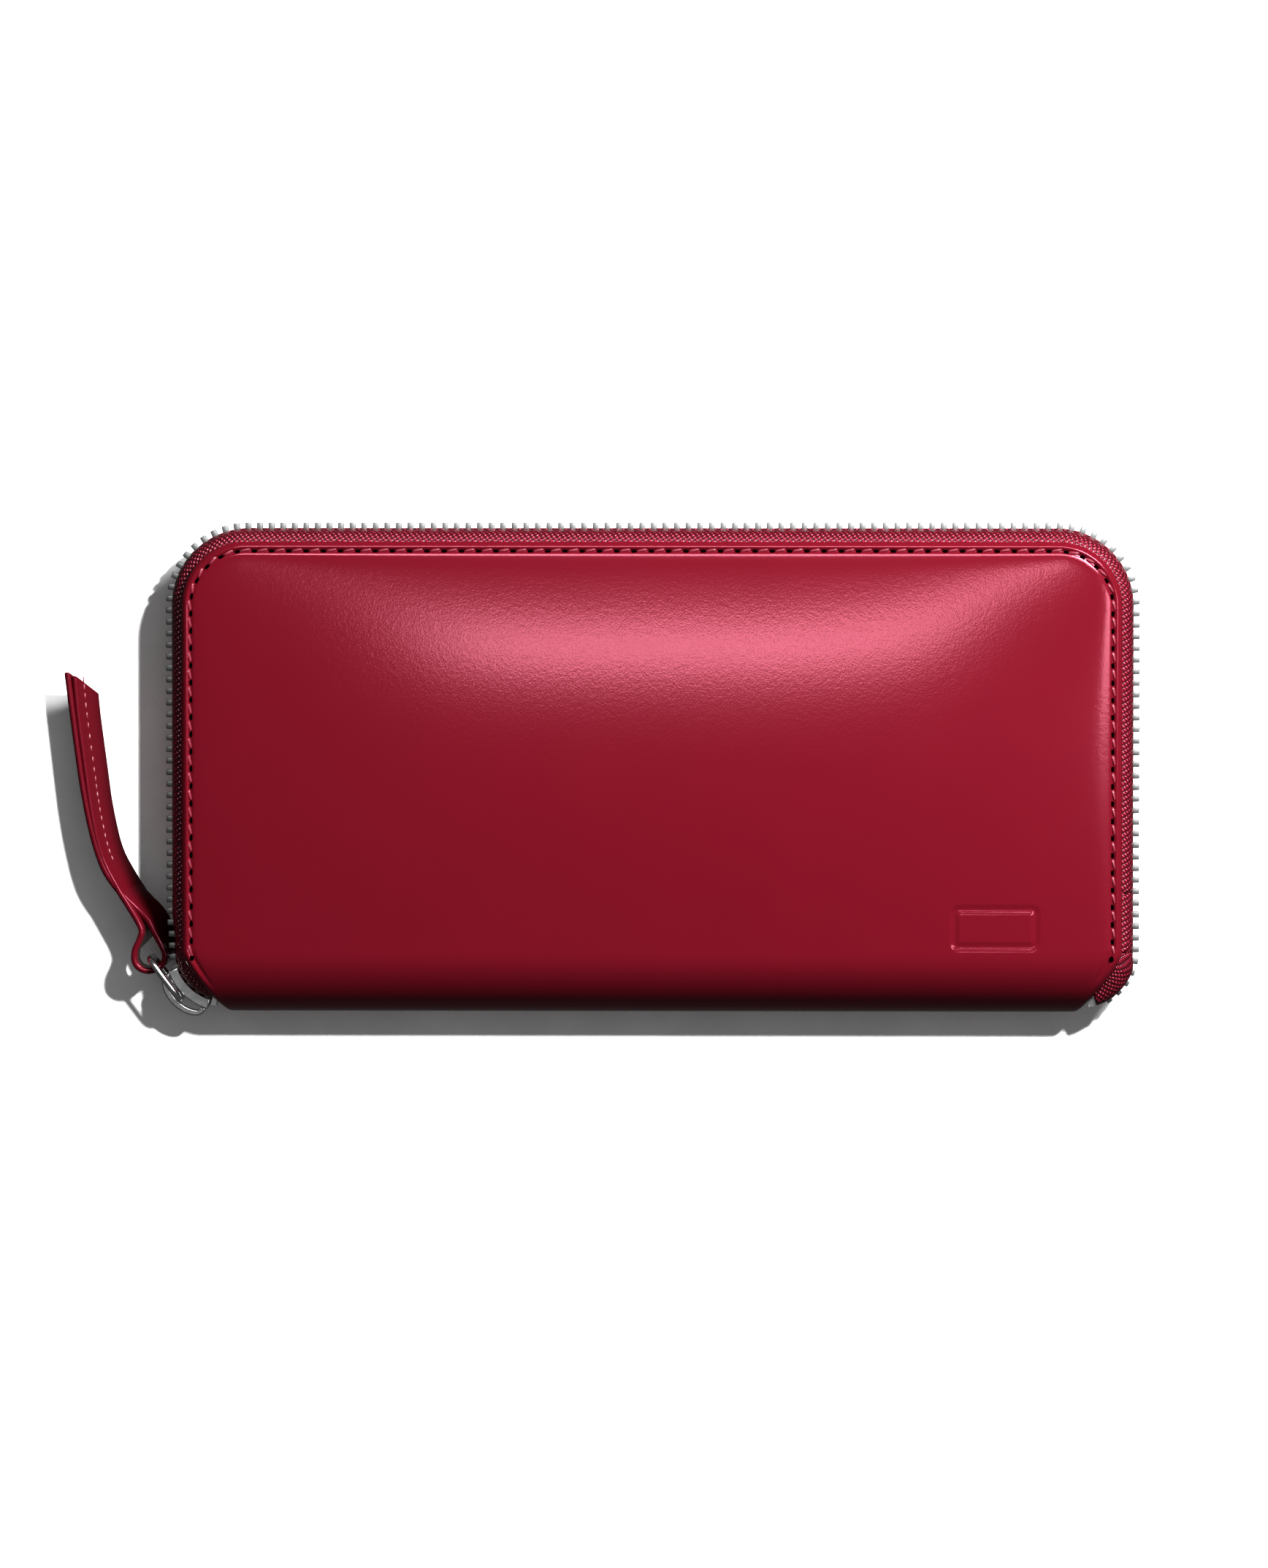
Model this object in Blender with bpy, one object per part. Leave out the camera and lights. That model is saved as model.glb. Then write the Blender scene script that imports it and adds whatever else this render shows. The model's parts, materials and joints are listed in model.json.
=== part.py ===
"""Zip around wallet: two leather covers, card slots, a hinged coin pocket, a zip
chain on three sides, a slider with its ring and leather pull strap.

Frame: metres. The origin is the middle of the back face that the closed wallet
rests on. +X runs along the length, +Y points from the spine to the long zipped
side and +Z points out of the front cover.
"""
import math

import bpy
import bmesh
from mathutils import Matrix, Vector

MM = 0.001

# ---- driving dimensions -------------------------------------------------
COVER_LENGTH = 190.0 * MM      # leather cover along X
COVER_WIDTH = 95.6 * MM        # leather cover, spine to long zipped edge
THICKNESS = 25.0 * MM          # outside of the back cover to outside of the front
CORNER_RADIUS = 13.0 * MM      # the covers' top corners
SPINE_TAPER = 8.5 * MM         # how far each side draws in round the spine
TAPER_POWER = 1.3              # how late the sides draw in round the spine
TEETH_REACH = 3.1 * MM         # zip teeth past the leather edge

COVER_WALL = 1.1 * MM
PADDING_WALL = 0.6 * MM
STIFFENER_WALL = 0.5 * MM
LINING_WALL = 0.4 * MM
CARD_SLOT_WALL = 0.35 * MM
CARD_SLOTS = 3                 # shingled strips on each side
POCKET_WALL = 0.5 * MM
POCKET_ROOM = 4.2 * MM         # coin space between the pocket's panels
CARD_SLOT_INSET = 9.0 * MM     # card slots, in from the leather edge
CARD_SLOT_RISE = 2.0 * MM      # bottom of the card slots, above the bend
TAPE_WALL = 0.45 * MM
TAPE_END_REACH = 1.6 * MM      # the turns' tape past the leather edge, at its foot
TAPE_END_DROP = 4.4 * MM       # top of the tape in the spine turns, in from the cover's face
GAP = 0.3 * MM                 # clearance between neighbouring pieces

TOOTH_ROW_DEPTH = 1.5 * MM     # row of teeth, from its tape side to its tips
TOOTH_ROW_HEIGHT = 2.0 * MM
OPEN_ROWS_GAP = 1.8 * MM       # between the rows where they are not meshed
CHAIN_SPLIT = 2.1 * MM         # where the sides' chain meets the turns', above the bend
CHAIN_TURN = 72.0              # degrees that the chain runs round the turn
TOP_STOP_TURN = (74.0, 79.0)   # degrees round the turn
BOTTOM_STOP_TURN = (74.0, 80.0)
SLIDER_WALL = 0.7 * MM
SLIDER_SINK = 0.5 * MM         # inner plate's inner face, in from the leather edge
SLIDER_FLANGE = 1.0 * MM       # lip down each side of the outer plate
SLIDER_LIP_DEPTH = 1.4 * MM
SLIDER_FIRST = 20.0            # degrees round the corner, end by the straight side
SLIDER_LAST = 72.0
WEDGE_FIRST = 50.0
WEDGE_LAST = 68.0
BAIL_WALL = 0.8 * MM
BAIL_WIDTH = 1.6 * MM
BAIL_FOOT = 4.0                # degrees of arc under each end of the bail
BAIL_END_INSET = 2.0           # degrees between the bail's ends and the slider's
BAIL_FULLNESS = 0.7            # under 1 fills out the arch's shoulders
RING_WIRE = 1.3 * MM
RING_CORNER = 2.2 * MM
RING_LENGTH = 10.0 * MM        # between the centres of the ring's two bars
RING_PLAY = 0.35 * MM          # round the ring's bar under the bail
STRAP_PLAY = 0.2 * MM          # between the strap and each side of the ring
RING_HEADING = 127.0           # degrees from +X, seen from the front
STRAP_WIDTH = 10.0 * MM
STRAP_LEAF = 1.2 * MM
STRAP_LEAN = 26.0              # degrees from upright, at the tip
STRAP_TIP = 1.6 * MM           # the strap's folded tip past the end of its route

POCKET_INSET = 10.0 * MM       # pocket's ends, in from the covers' ends
POCKET_DEPTH_INSET = 20.25 * MM    # pocket's top, down from the covers' long edge
POCKET_BOTTOM_INSET = 5.0 * MM     # pocket's bottom, up from the spine
POCKET_SLIDER_INSET = 15.0 * MM
POCKET_ROW_REACH = 5.2 * MM        # the pocket's teeth stand this far past its panels
POCKET_TAPE_DEPTH = 6.0 * MM       # the pocket's tape, down inside its panels
POCKET_ROW_INSET = 2.0 * MM        # ends of the pocket's teeth, in from its tape's ends
POCKET_STOP_NEAR = 0.5 * MM        # stops' two ends, in from the tape's ends
POCKET_STOP_FAR = 1.7 * MM
POCKET_SLIDER_LENGTH = 8.0 * MM
POCKET_WEB_START = 0.5 * MM        # web between the plates, from the slider's middle
POCKET_WEB_END = 0.8 * MM          # and short of the slider's end
POCKET_BAIL_HALF = 3.0 * MM
POCKET_BAIL_RISE = 2.3 * MM
POCKET_BAIL_WALL = 0.7 * MM
POCKET_BAIL_BEVEL = 0.8 * MM
POCKET_BAIL_WIDTH = 1.0 * MM
POCKET_PIVOT_RISE = 1.0 * MM       # the puller's axis above the slider's top plate
POCKET_PULLER_LENGTH = 10.5 * MM
POCKET_PULLER_HALF = 1.9 * MM
POCKET_PULLER_WALL = 0.8 * MM
POCKET_PIN_BELOW = 0.4 * MM        # the puller's pin, below and above its axis
POCKET_PIN_ABOVE = 0.35 * MM
PULLER_WINDOW_HALF = 0.9 * MM
PULLER_WINDOW_TOP = 4.2 * MM
BINDING_WALL = 1.0 * MM
GUSSET_WALL = 0.4 * MM
GUSSET_FOLD = 11.6 * MM
GUSSET_FOLD_WALL = 2.4 * MM        # thickness of the fold at its tip, along X
GUSSET_INSET = 5.0 * MM
GUSSET_DROP = 2.9 * MM             # bottom of the gussets, below the bend
GUSSET_HEIGHT = 34.75 * MM
GUSSET_POCKET_GAP = 0.5 * MM
GUSSET_CARD_GAP = 0.2 * MM
FIRST_SLOT_INSET = 18.25 * MM  # top of the deepest card slot, down from the long edge
SLOT_STEP = 14.0 * MM

# ---- places worked out from the sizes above -----------------------------
HALF_LENGTH = COVER_LENGTH / 2
SPINE_Y = -(COVER_WIDTH + TEETH_REACH) / 2
EDGE_Y = SPINE_Y + COVER_WIDTH
MID_Z = THICKNESS / 2
SPINE_RADIUS = THICKNESS / 2
BEND_Y = SPINE_Y + SPINE_RADIUS        # where the flat covers start to curl
CORNER_X = HALF_LENGTH - CORNER_RADIUS
CORNER_Y = EDGE_Y - CORNER_RADIUS
TURN_X = HALF_LENGTH - SPINE_TAPER     # centre of the chain's turn at the spine
TURN_Y = BEND_Y
TURN_RADIUS = SPINE_TAPER

PADDING_DEPTH = COVER_WALL + GAP       # depths are measured in from a cover's face
STIFFENER_DEPTH = PADDING_DEPTH + PADDING_WALL + GAP
LINING_DEPTH = STIFFENER_DEPTH + STIFFENER_WALL + GAP
CARD_DEPTH = LINING_DEPTH + LINING_WALL + GAP
CARD_PITCH = CARD_SLOT_WALL + GAP
BOARD_INSET = 7.5 * MM                 # padding and stiffener stop inside the tape
LINING_INSET = 2.0 * MM
TAPE_FLAT_FROM = -6.0 * MM             # the tape starts this far in from the edge
ROW_INNER = TEETH_REACH - TOOTH_ROW_DEPTH

# The long tape's bends in mm: reach past the leather edge, drop from the cover's underside.
TAPE_OUTER_BENDS = ((-0.6, 0.0), (1.2, 1.5), (2.0, 4.2))
TAPE_INNER_BENDS = ((1.55, 4.2), (0.75, 1.75))
TAPE_FOOT_REACH = 2.3 * MM
TAPE_INNER_FLAT = -0.8 * MM            # where the tape's inner face leaves the cover
TAPE_END_WAIST = 0.1 * MM              # the turns' tape draws in this much half way up
TAPE_END_TOP = 0.6 * MM                # and this much at its top

POCKET_HALF = HALF_LENGTH - POCKET_INSET
POCKET_TOP = EDGE_Y - POCKET_DEPTH_INSET
POCKET_BOTTOM = SPINE_Y + POCKET_BOTTOM_INSET
POCKET_SLIDER_X = -(POCKET_HALF - POCKET_SLIDER_INSET)
GUSSET_OUTER_X = HALF_LENGTH - GUSSET_INSET

CREASE = Vector((0.0, SPINE_Y, MID_Z))
LEFT_TURN = Vector((-TURN_X, TURN_Y, MID_Z))
SLIDER_MIDDLE = (SLIDER_FIRST + SLIDER_LAST) / 2
SLIDER_WIDTH = OPEN_ROWS_GAP + 2 * (TOOTH_ROW_HEIGHT + GAP + SLIDER_FLANGE)
WEDGE_WALL = OPEN_ROWS_GAP - 2 * GAP
RING_WIDTH = STRAP_WIDTH + 2 * (STRAP_PLAY + RING_WIRE)
INNER_PLATE = TURN_RADIUS - SLIDER_SINK        # radius where the inner plate starts
OUTER_PLATE = TURN_RADIUS + TEETH_REACH + GAP
PLATE_FACE = OUTER_PLATE + SLIDER_WALL
BAIL_BASE = PLATE_FACE + GAP
BAIL_TOP = PLATE_FACE + RING_WIRE + 2 * RING_PLAY + BAIL_WALL
BAIL_HEIGHT = BAIL_TOP - BAIL_BASE
RING_RADIUS = (PLATE_FACE + BAIL_TOP - BAIL_WALL) / 2


def on_turn(radius, degrees, z=MID_Z):
    """A point on the left turn, measured from -X towards the spine."""
    angle = math.radians(degrees)
    return Vector((-TURN_X - radius * math.cos(angle), TURN_Y - radius * math.sin(angle), z))


RING_PIVOT = on_turn(RING_RADIUS, SLIDER_MIDDLE)
RING_AIM = Vector((math.cos(math.radians(RING_HEADING)), math.sin(math.radians(RING_HEADING)), 0))
STRAP_PIVOT = RING_PIVOT + RING_AIM * RING_LENGTH


# ---- materials ----------------------------------------------------------
def material(name, colour, roughness, metallic=0.0):
    made = bpy.data.materials.new(name)
    made.use_nodes = True
    shader = made.node_tree.nodes["Principled BSDF"]
    shader.inputs["Base Color"].default_value = (*colour, 1.0)
    shader.inputs["Roughness"].default_value = roughness
    shader.inputs["Metallic"].default_value = metallic
    return made


def finishes():
    return {
        "leather": material("red_leather", (0.26, 0.012, 0.025), 0.28),
        "lining": material("dark_lining", (0.05, 0.006, 0.010), 0.8),
        "tape": material("red_tape", (0.16, 0.010, 0.018), 0.7),
        "teeth": material("nickel_teeth", (0.33, 0.33, 0.34), 0.35, 1.0),
        "metal": material("dark_nickel", (0.24, 0.23, 0.25), 0.25, 1.0),
        "board": material("grey_board", (0.35, 0.32, 0.28), 0.9),
        "foam": material("white_foam", (0.75, 0.74, 0.70), 0.95),
    }


# ---- mesh helpers -------------------------------------------------------
def place(name, mesh_data, finish, pivot=Vector((0, 0, 0))):
    """A named object from a bmesh in world places, with its origin on the pivot."""
    bmesh.ops.recalc_face_normals(mesh_data, faces=mesh_data.faces)
    bmesh.ops.translate(mesh_data, verts=mesh_data.verts, vec=-Vector(pivot))
    mesh = bpy.data.meshes.new(name)
    mesh_data.to_mesh(mesh)
    mesh_data.free()
    mesh.materials.append(finish)
    obj = bpy.data.objects.new(name, mesh)
    obj.location = pivot
    bpy.context.scene.collection.objects.link(obj)
    return obj


def loft(rings, closed=False):
    """A skin through rings of equal length, with flat ends unless it is closed."""
    bm = bmesh.new()
    loops = [[bm.verts.new(point) for point in ring] for ring in rings]
    pairs = list(zip(loops, loops[1:]))
    if closed:
        pairs.append((loops[-1], loops[0]))
    for first, second in pairs:
        for index in range(len(first)):
            after = (index + 1) % len(first)
            bm.faces.new((first[index], first[after], second[after], second[index]))
    if not closed:
        bm.faces.new(loops[0])
        bm.faces.new(loops[-1])
    return bm


def prism(outline, offset):
    """A flat outline swept by one offset."""
    return loft([[Vector(point) for point in outline],
                 [Vector(point) + Vector(offset) for point in outline]])


def block(low, high):
    bm = bmesh.new()
    size = Vector(high) - Vector(low)
    middle = (Vector(high) + Vector(low)) / 2
    bmesh.ops.create_cube(bm, size=1.0, matrix=Matrix.Translation(middle) @ Matrix.Diagonal((*size, 1)))
    return bm


def smooth(obj, degrees=35.0):
    obj.data.shade_smooth()
    obj.data.set_sharp_from_angle(angle=math.radians(degrees))
    return obj


def join_with(target, other, kind="UNION"):
    """Boolean of a guide object, which stays hidden and out of the model."""
    other.hide_render = True
    other.display_type = "WIRE"
    change = target.modifiers.new(other.name, "BOOLEAN")
    change.operation = kind
    change.solver = "EXACT"
    change.object = other


def flipped(point):
    """The same place on the other cover."""
    return Vector((point[0], point[1], THICKNESS - point[2]))


# ---- outlines -----------------------------------------------------------
def half_width(y, inset):
    """Half the length at y of a layer that stays inset from the leather edge."""
    reach = HALF_LENGTH - inset
    if y > CORNER_Y:
        radius = CORNER_RADIUS - inset
        reach = CORNER_X + math.sqrt(max(radius ** 2 - (y - CORNER_Y) ** 2, 0.0))
    elif y < BEND_Y:
        turned = min((BEND_Y - y) / SPINE_RADIUS, 1.0)
        reach -= SPINE_TAPER * turned ** TAPER_POWER
    return reach


def layer(depth, wall, inset, bottom=None, curl=False, top=None, corner_steps=6):
    """Rings of a layer under the front cover: flat, or curled to the mid plane."""
    rows = []
    outer_z = THICKNESS - depth
    if curl:
        steps = 7
        for step in range(steps, 0, -1):
            angle = math.pi / 2 * step / steps
            spots = []
            for radius in (SPINE_RADIUS - depth, SPINE_RADIUS - depth - wall):
                z = MID_Z + max(radius * math.cos(angle), GAP / 2)
                spots.append((BEND_Y - radius * math.sin(angle), z))
            across = half_width(BEND_Y - SPINE_RADIUS * math.sin(angle), inset)
            rows.append((across, spots))
        heights = [BEND_Y]
    else:
        heights = [bottom]
    if top is None:
        radius = CORNER_RADIUS - inset
        for step in range(corner_steps + 1):
            heights.append(CORNER_Y + radius * math.sin(math.pi / 2 * step / corner_steps))
    else:
        heights.append(top)
    for y in heights:
        rows.append((half_width(y, inset), [(y, outer_z), (y, outer_z - wall)]))
    rings = []
    for across, ((outer_y, high), (inner_y, low)) in rows:
        rings.append([Vector((-across, outer_y, high)), Vector((across, outer_y, high)),
                      Vector((across, inner_y, low)), Vector((-across, inner_y, low))])
    return rings


def edge_path(side_bottom):
    """Points and outward normals along the leather edge: up one side, along, down."""
    steps = 8
    path = [(Vector((-HALF_LENGTH, side_bottom, 0)), Vector((-1, 0, 0)))]
    for step in range(steps + 1):
        angle = math.pi / 2 * step / steps
        out = Vector((-math.cos(angle), math.sin(angle), 0))
        path.append((Vector((-CORNER_X, CORNER_Y, 0)) + out * CORNER_RADIUS, out))
    return path + [(Vector((-at.x, at.y, 0)), Vector((-out.x, out.y, 0))) for at, out in reversed(path)]


def turn_path(side, first, last):
    """The chain's turn into the spine, from the straight side (0 degrees) inwards."""
    steps = 8
    path = []
    for step in range(steps + 1):
        angle = math.radians(first + (last - first) * step / steps)
        out = Vector((side * math.cos(angle), -math.sin(angle), 0))
        path.append((Vector((side * TURN_X, TURN_Y, 0)) + out * TURN_RADIUS, out))
    return path


def sweep(path, profile):
    """A profile of (reach past the edge, z) swept along a path."""
    return loft([[at + out * reach + Vector((0, 0, z)) for reach, z in profile] for at, out in path])


def for_side(rings, front):
    return rings if front else [[flipped(point) for point in ring] for ring in rings]


def tape_profile(front, main):
    """Across the tape: flat under the cover and down to the row, or the row end only."""
    row_top = MID_Z + GAP / 2 + TOOTH_ROW_HEIGHT
    under = THICKNESS - COVER_WALL - GAP
    if main:
        outer_bends = [(reach * MM, under - drop * MM) for reach, drop in TAPE_OUTER_BENDS]
        inner_bends = [(reach * MM, under - drop * MM) for reach, drop in TAPE_INNER_BENDS]
        outer = [(TAPE_FLAT_FROM, under), *outer_bends, (TAPE_FOOT_REACH, row_top + GAP)]
        inner = [(TAPE_FOOT_REACH - TAPE_WALL, row_top + GAP), *inner_bends,
                 (TAPE_INNER_FLAT, under - TAPE_WALL), (TAPE_FLAT_FROM, under - TAPE_WALL)]
    else:
        foot = MID_Z + OPEN_ROWS_GAP / 2 + TOOTH_ROW_HEIGHT + GAP
        top = THICKNESS - TAPE_END_DROP
        waist = (foot + top) / 2
        outer = [(TAPE_END_REACH - TAPE_END_TOP, top), (TAPE_END_REACH - TAPE_END_WAIST, waist),
                 (TAPE_END_REACH, foot)]
        inner = [(reach - TAPE_WALL, z) for reach, z in reversed(outer)]
    profile = outer + inner
    return profile if front else [(reach, THICKNESS - z) for reach, z in profile]


def row_profile(front, rows_gap):
    low = MID_Z + rows_gap / 2
    profile = [(ROW_INNER, low), (TEETH_REACH, low), (TEETH_REACH, low + TOOTH_ROW_HEIGHT),
               (ROW_INNER, low + TOOTH_ROW_HEIGHT)]
    return profile if front else [(reach, THICKNESS - z) for reach, z in profile]


# ---- covers and what is sewn inside them --------------------------------
def build_side(side_name, front, finish):
    """Cover, padding, stiffener, lining and card slots of one half."""
    cover = place(f"{side_name}_cover", loft(for_side(layer(0, COVER_WALL, 0, curl=True), front)),
                  finish["leather"], CREASE)
    smooth(cover)
    board_bottom = BEND_Y + GAP
    place(f"{side_name}_padding",
          loft(for_side(layer(PADDING_DEPTH, PADDING_WALL, BOARD_INSET, bottom=board_bottom), front)),
          finish["foam"], CREASE)
    place(f"{side_name}_stiffener",
          loft(for_side(layer(STIFFENER_DEPTH, STIFFENER_WALL, BOARD_INSET, bottom=board_bottom), front)),
          finish["board"], CREASE)
    place(f"{side_name}_lining",
          loft(for_side(layer(LINING_DEPTH, LINING_WALL, LINING_INSET, curl=True), front)),
          finish["lining"], CREASE)
    for index in range(CARD_SLOTS):
        depth = CARD_DEPTH + index * CARD_PITCH
        rings = layer(depth, CARD_SLOT_WALL, CARD_SLOT_INSET, bottom=BEND_Y + CARD_SLOT_RISE,
                      top=EDGE_Y - FIRST_SLOT_INSET - SLOT_STEP * index)
        place(f"{side_name}_card_slot_{index + 1}", loft(for_side(rings, front)),
              finish["leather"], CREASE)


# ---- zip chain ----------------------------------------------------------
def build_chain(finish):
    """Tapes and rows on the three sides, and their ends in the turns at the spine."""
    side_bottom = TURN_Y + CHAIN_SPLIT
    end_start = side_bottom - GAP
    for side_name, front in (("back", False), ("front", True)):
        path = edge_path(side_bottom)
        smooth(place(f"zip_tape_{side_name}", sweep(path, tape_profile(front, True)),
                     finish["tape"], CREASE))
        smooth(place(f"zip_teeth_{side_name}", sweep(path, row_profile(front, GAP)),
                     finish["teeth"], CREASE))
        for end_name, side, rows_gap in (("left", -1, OPEN_ROWS_GAP), ("right", 1, GAP)):
            straight = (Vector((side * HALF_LENGTH, end_start, 0)), Vector((side, 0, 0)))
            turn = [straight] + turn_path(side, 0.0, CHAIN_TURN)
            smooth(place(f"zip_tape_{side_name}_{end_name}_end", sweep(turn, tape_profile(front, False)),
                         finish["tape"]))
            smooth(place(f"zip_teeth_{side_name}_{end_name}_end", sweep(turn, row_profile(front, rows_gap)),
                         finish["teeth"]))
        top_stop = turn_path(-1, *TOP_STOP_TURN)
        place(f"zip_top_stop_{side_name}", sweep(top_stop, row_profile(front, OPEN_ROWS_GAP)),
              finish["metal"])
    low = MID_Z - TOOTH_ROW_HEIGHT - GAP / 2
    high = THICKNESS - low
    stop = [(ROW_INNER, low), (TEETH_REACH, low), (TEETH_REACH, high), (ROW_INNER, high)]
    place("zip_bottom_stop", sweep(turn_path(1, *BOTTOM_STOP_TURN), stop), finish["metal"])


def arc_slab(first, last, radii, heights):
    """A slab round the left turn between two radii and two heights."""
    steps = 8
    rings = []
    for step in range(steps + 1):
        degrees = first + (last - first) * step / steps
        corners = ((radii[0], heights[0]), (radii[0], heights[1]),
                   (radii[1], heights[1]), (radii[1], heights[0]))
        rings.append([on_turn(radius, degrees, z) for radius, z in corners])
    return loft(rings)


def build_slider(finish):
    """Slider on the left turn: two plates and a wedge, its bail and the pull ring."""
    half = SLIDER_WIDTH / 2
    room = half - SLIDER_FLANGE
    lip_edge = OUTER_PLATE - SLIDER_LIP_DEPTH
    steps = 8
    rings = []
    section = [(lip_edge, half), (PLATE_FACE, half), (PLATE_FACE, -half), (lip_edge, -half),
               (lip_edge, -room), (OUTER_PLATE, -room), (OUTER_PLATE, room), (lip_edge, room)]
    for step in range(steps + 1):
        degrees = SLIDER_FIRST + (SLIDER_LAST - SLIDER_FIRST) * step / steps
        rings.append([on_turn(radius, degrees, MID_Z + rise) for radius, rise in section])
    body = place("slider_body", loft(rings), finish["metal"], LEFT_TURN)
    smooth(body)
    inner = place("inner_plate_guide",
                  arc_slab(SLIDER_FIRST, SLIDER_LAST, (INNER_PLATE, INNER_PLATE + SLIDER_WALL),
                           (MID_Z - half, MID_Z + half)), finish["metal"])
    wedge = place("wedge_guide",
                  arc_slab(WEDGE_FIRST, WEDGE_LAST,
                           (INNER_PLATE + SLIDER_WALL / 2, OUTER_PLATE + SLIDER_WALL / 2),
                           (MID_Z - WEDGE_WALL / 2, MID_Z + WEDGE_WALL / 2)), finish["metal"])
    join_with(body, wedge)
    join_with(body, inner)

    outer, inside = [], []
    arc_steps = 10
    half_arc = (SLIDER_LAST - SLIDER_FIRST) / 2 - BAIL_END_INSET
    for step in range(arc_steps + 1):
        turn = math.pi * step / arc_steps
        swing = -math.cos(turn)
        rise = math.sin(turn) ** BAIL_FULLNESS
        outer.append(on_turn(BAIL_BASE + BAIL_HEIGHT * rise, SLIDER_MIDDLE + half_arc * swing))
        inside.append(on_turn(BAIL_BASE + (BAIL_HEIGHT - BAIL_WALL) * rise,
                              SLIDER_MIDDLE + (half_arc - BAIL_FOOT) * swing))
    outline = [point - Vector((0, 0, BAIL_WIDTH / 2)) for point in outer + inside[::-1]]
    smooth(place("slider_bail", prism(outline, (0, 0, BAIL_WIDTH)), finish["metal"], LEFT_TURN))

    rings = []
    sides = 8
    high = (RING_WIDTH - RING_WIRE) / 2 - RING_CORNER
    far = RING_LENGTH - RING_CORNER
    corners = [(far, high, 0), (RING_CORNER, high, 1), (RING_CORNER, -high, 2), (far, -high, 3)]
    bend_steps = 4
    for along, rise, quarter in corners:
        for step in range(bend_steps + 1):
            angle = math.pi / 2 * (quarter + step / bend_steps)
            out = RING_AIM * math.cos(angle) + Vector((0, 0, 1)) * math.sin(angle)
            centre = RING_PIVOT + RING_AIM * along + Vector((0, 0, rise)) + out * RING_CORNER
            across = Vector((0, 0, 1)).cross(RING_AIM)
            rings.append([centre + (out * math.cos(2 * math.pi * k / sides)
                                    + across * math.sin(2 * math.pi * k / sides)) * RING_WIRE / 2
                          for k in range(sides)])
    smooth(place("pull_ring", loft(rings, closed=True), finish["metal"], RING_PIVOT))


# Middle line of the strap seen from the front, from the ring's far bar to the tip:
# offsets from that bar, half the distance between its two leaves, lean share and drop.
STRAP_ROUTE = [
    # x mm, y mm, half split mm, lean share, drop mm
    (0.0, 0.0, 2.9, 0.00, 0.0),
    (-0.4, 4.6, 2.7, 0.05, 0.0),
    (-1.6, 10.2, 2.2, 0.30, 0.4),
    (-4.2, 16.8, 1.5, 0.60, 1.0),
    (-7.4, 23.6, 0.95, 0.85, 1.8),
    (-9.5, 31.8, 0.9, 1.00, 2.6),
    (-10.9, 38.4, 0.9, 1.00, 3.1),
    (-12.3, 46.8, 0.9, 1.00, 3.6),
    (-13.4, 54.4, 0.9, 1.00, 4.0),
]


def build_strap(finish):
    """One leather strip through the ring, folded back on itself and lying doubled."""
    middles = [STRAP_PIVOT + Vector((x, y, 0)) * MM for x, y, _, _, _ in STRAP_ROUTE]

    def heading(index):
        before = middles[max(index - 1, 0)]
        after = middles[min(index + 1, len(middles) - 1)]
        return (after - before).normalized()

    def section(centre, out, lean_share, drop):
        lean = math.radians(STRAP_LEAN) * lean_share
        left = out if out.x < 0 else -out
        up = Vector((0, 0, 1)) * math.cos(lean) + left * math.sin(lean)
        thick = out * math.cos(lean) + Vector((0, 0, -1 if out.x < 0 else 1)) * math.sin(lean)
        at = centre - Vector((0, 0, drop))
        tall, thin = up * STRAP_WIDTH / 2, thick * STRAP_LEAF / 2
        return [at - tall - thin, at - tall + thin, at + tall + thin, at + tall - thin]

    right, left = [], []
    for index, (_, _, split, lean, drop) in enumerate(STRAP_ROUTE):
        out = Vector((0, 0, -1)).cross(heading(index))
        out = -out if out.x < 0 else out
        right.append(section(middles[index] + out * split * MM, out, lean, drop * MM))
        left.append(section(middles[index] - out * split * MM, -out, lean, drop * MM))
    tip_out = heading(len(middles) - 1)
    tip = middles[-1] + tip_out * STRAP_TIP
    lean, drop = STRAP_ROUTE[-1][3], STRAP_ROUTE[-1][4]
    tilt = math.radians(STRAP_LEAN) * lean
    side = Vector((0, 0, 1)).cross(tip_out)
    up = Vector((0, 0, 1)) * math.cos(tilt) + side * math.sin(tilt)
    tall, thin = up * STRAP_WIDTH / 2, tip_out * STRAP_LEAF / 2
    at = tip - Vector((0, 0, drop * MM))
    tip_ring = [at - tall - thin, at - tall + thin, at + tall + thin, at + tall - thin]
    bottom = []
    first = heading(0)
    across = Vector((first.y, -first.x, 0))
    reach = STRAP_ROUTE[0][2] * MM
    for step in range(1, 6):
        angle = math.pi * step / 6
        out = -across * math.cos(angle) - first * math.sin(angle)
        bottom.append(section(middles[0] + out * reach, out, 0.0, 0.0))
    rings = right + [tip_ring] + left[::-1] + bottom
    smooth(place("pull_strap", loft(rings, closed=True), finish["leather"], STRAP_PIVOT))


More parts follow.
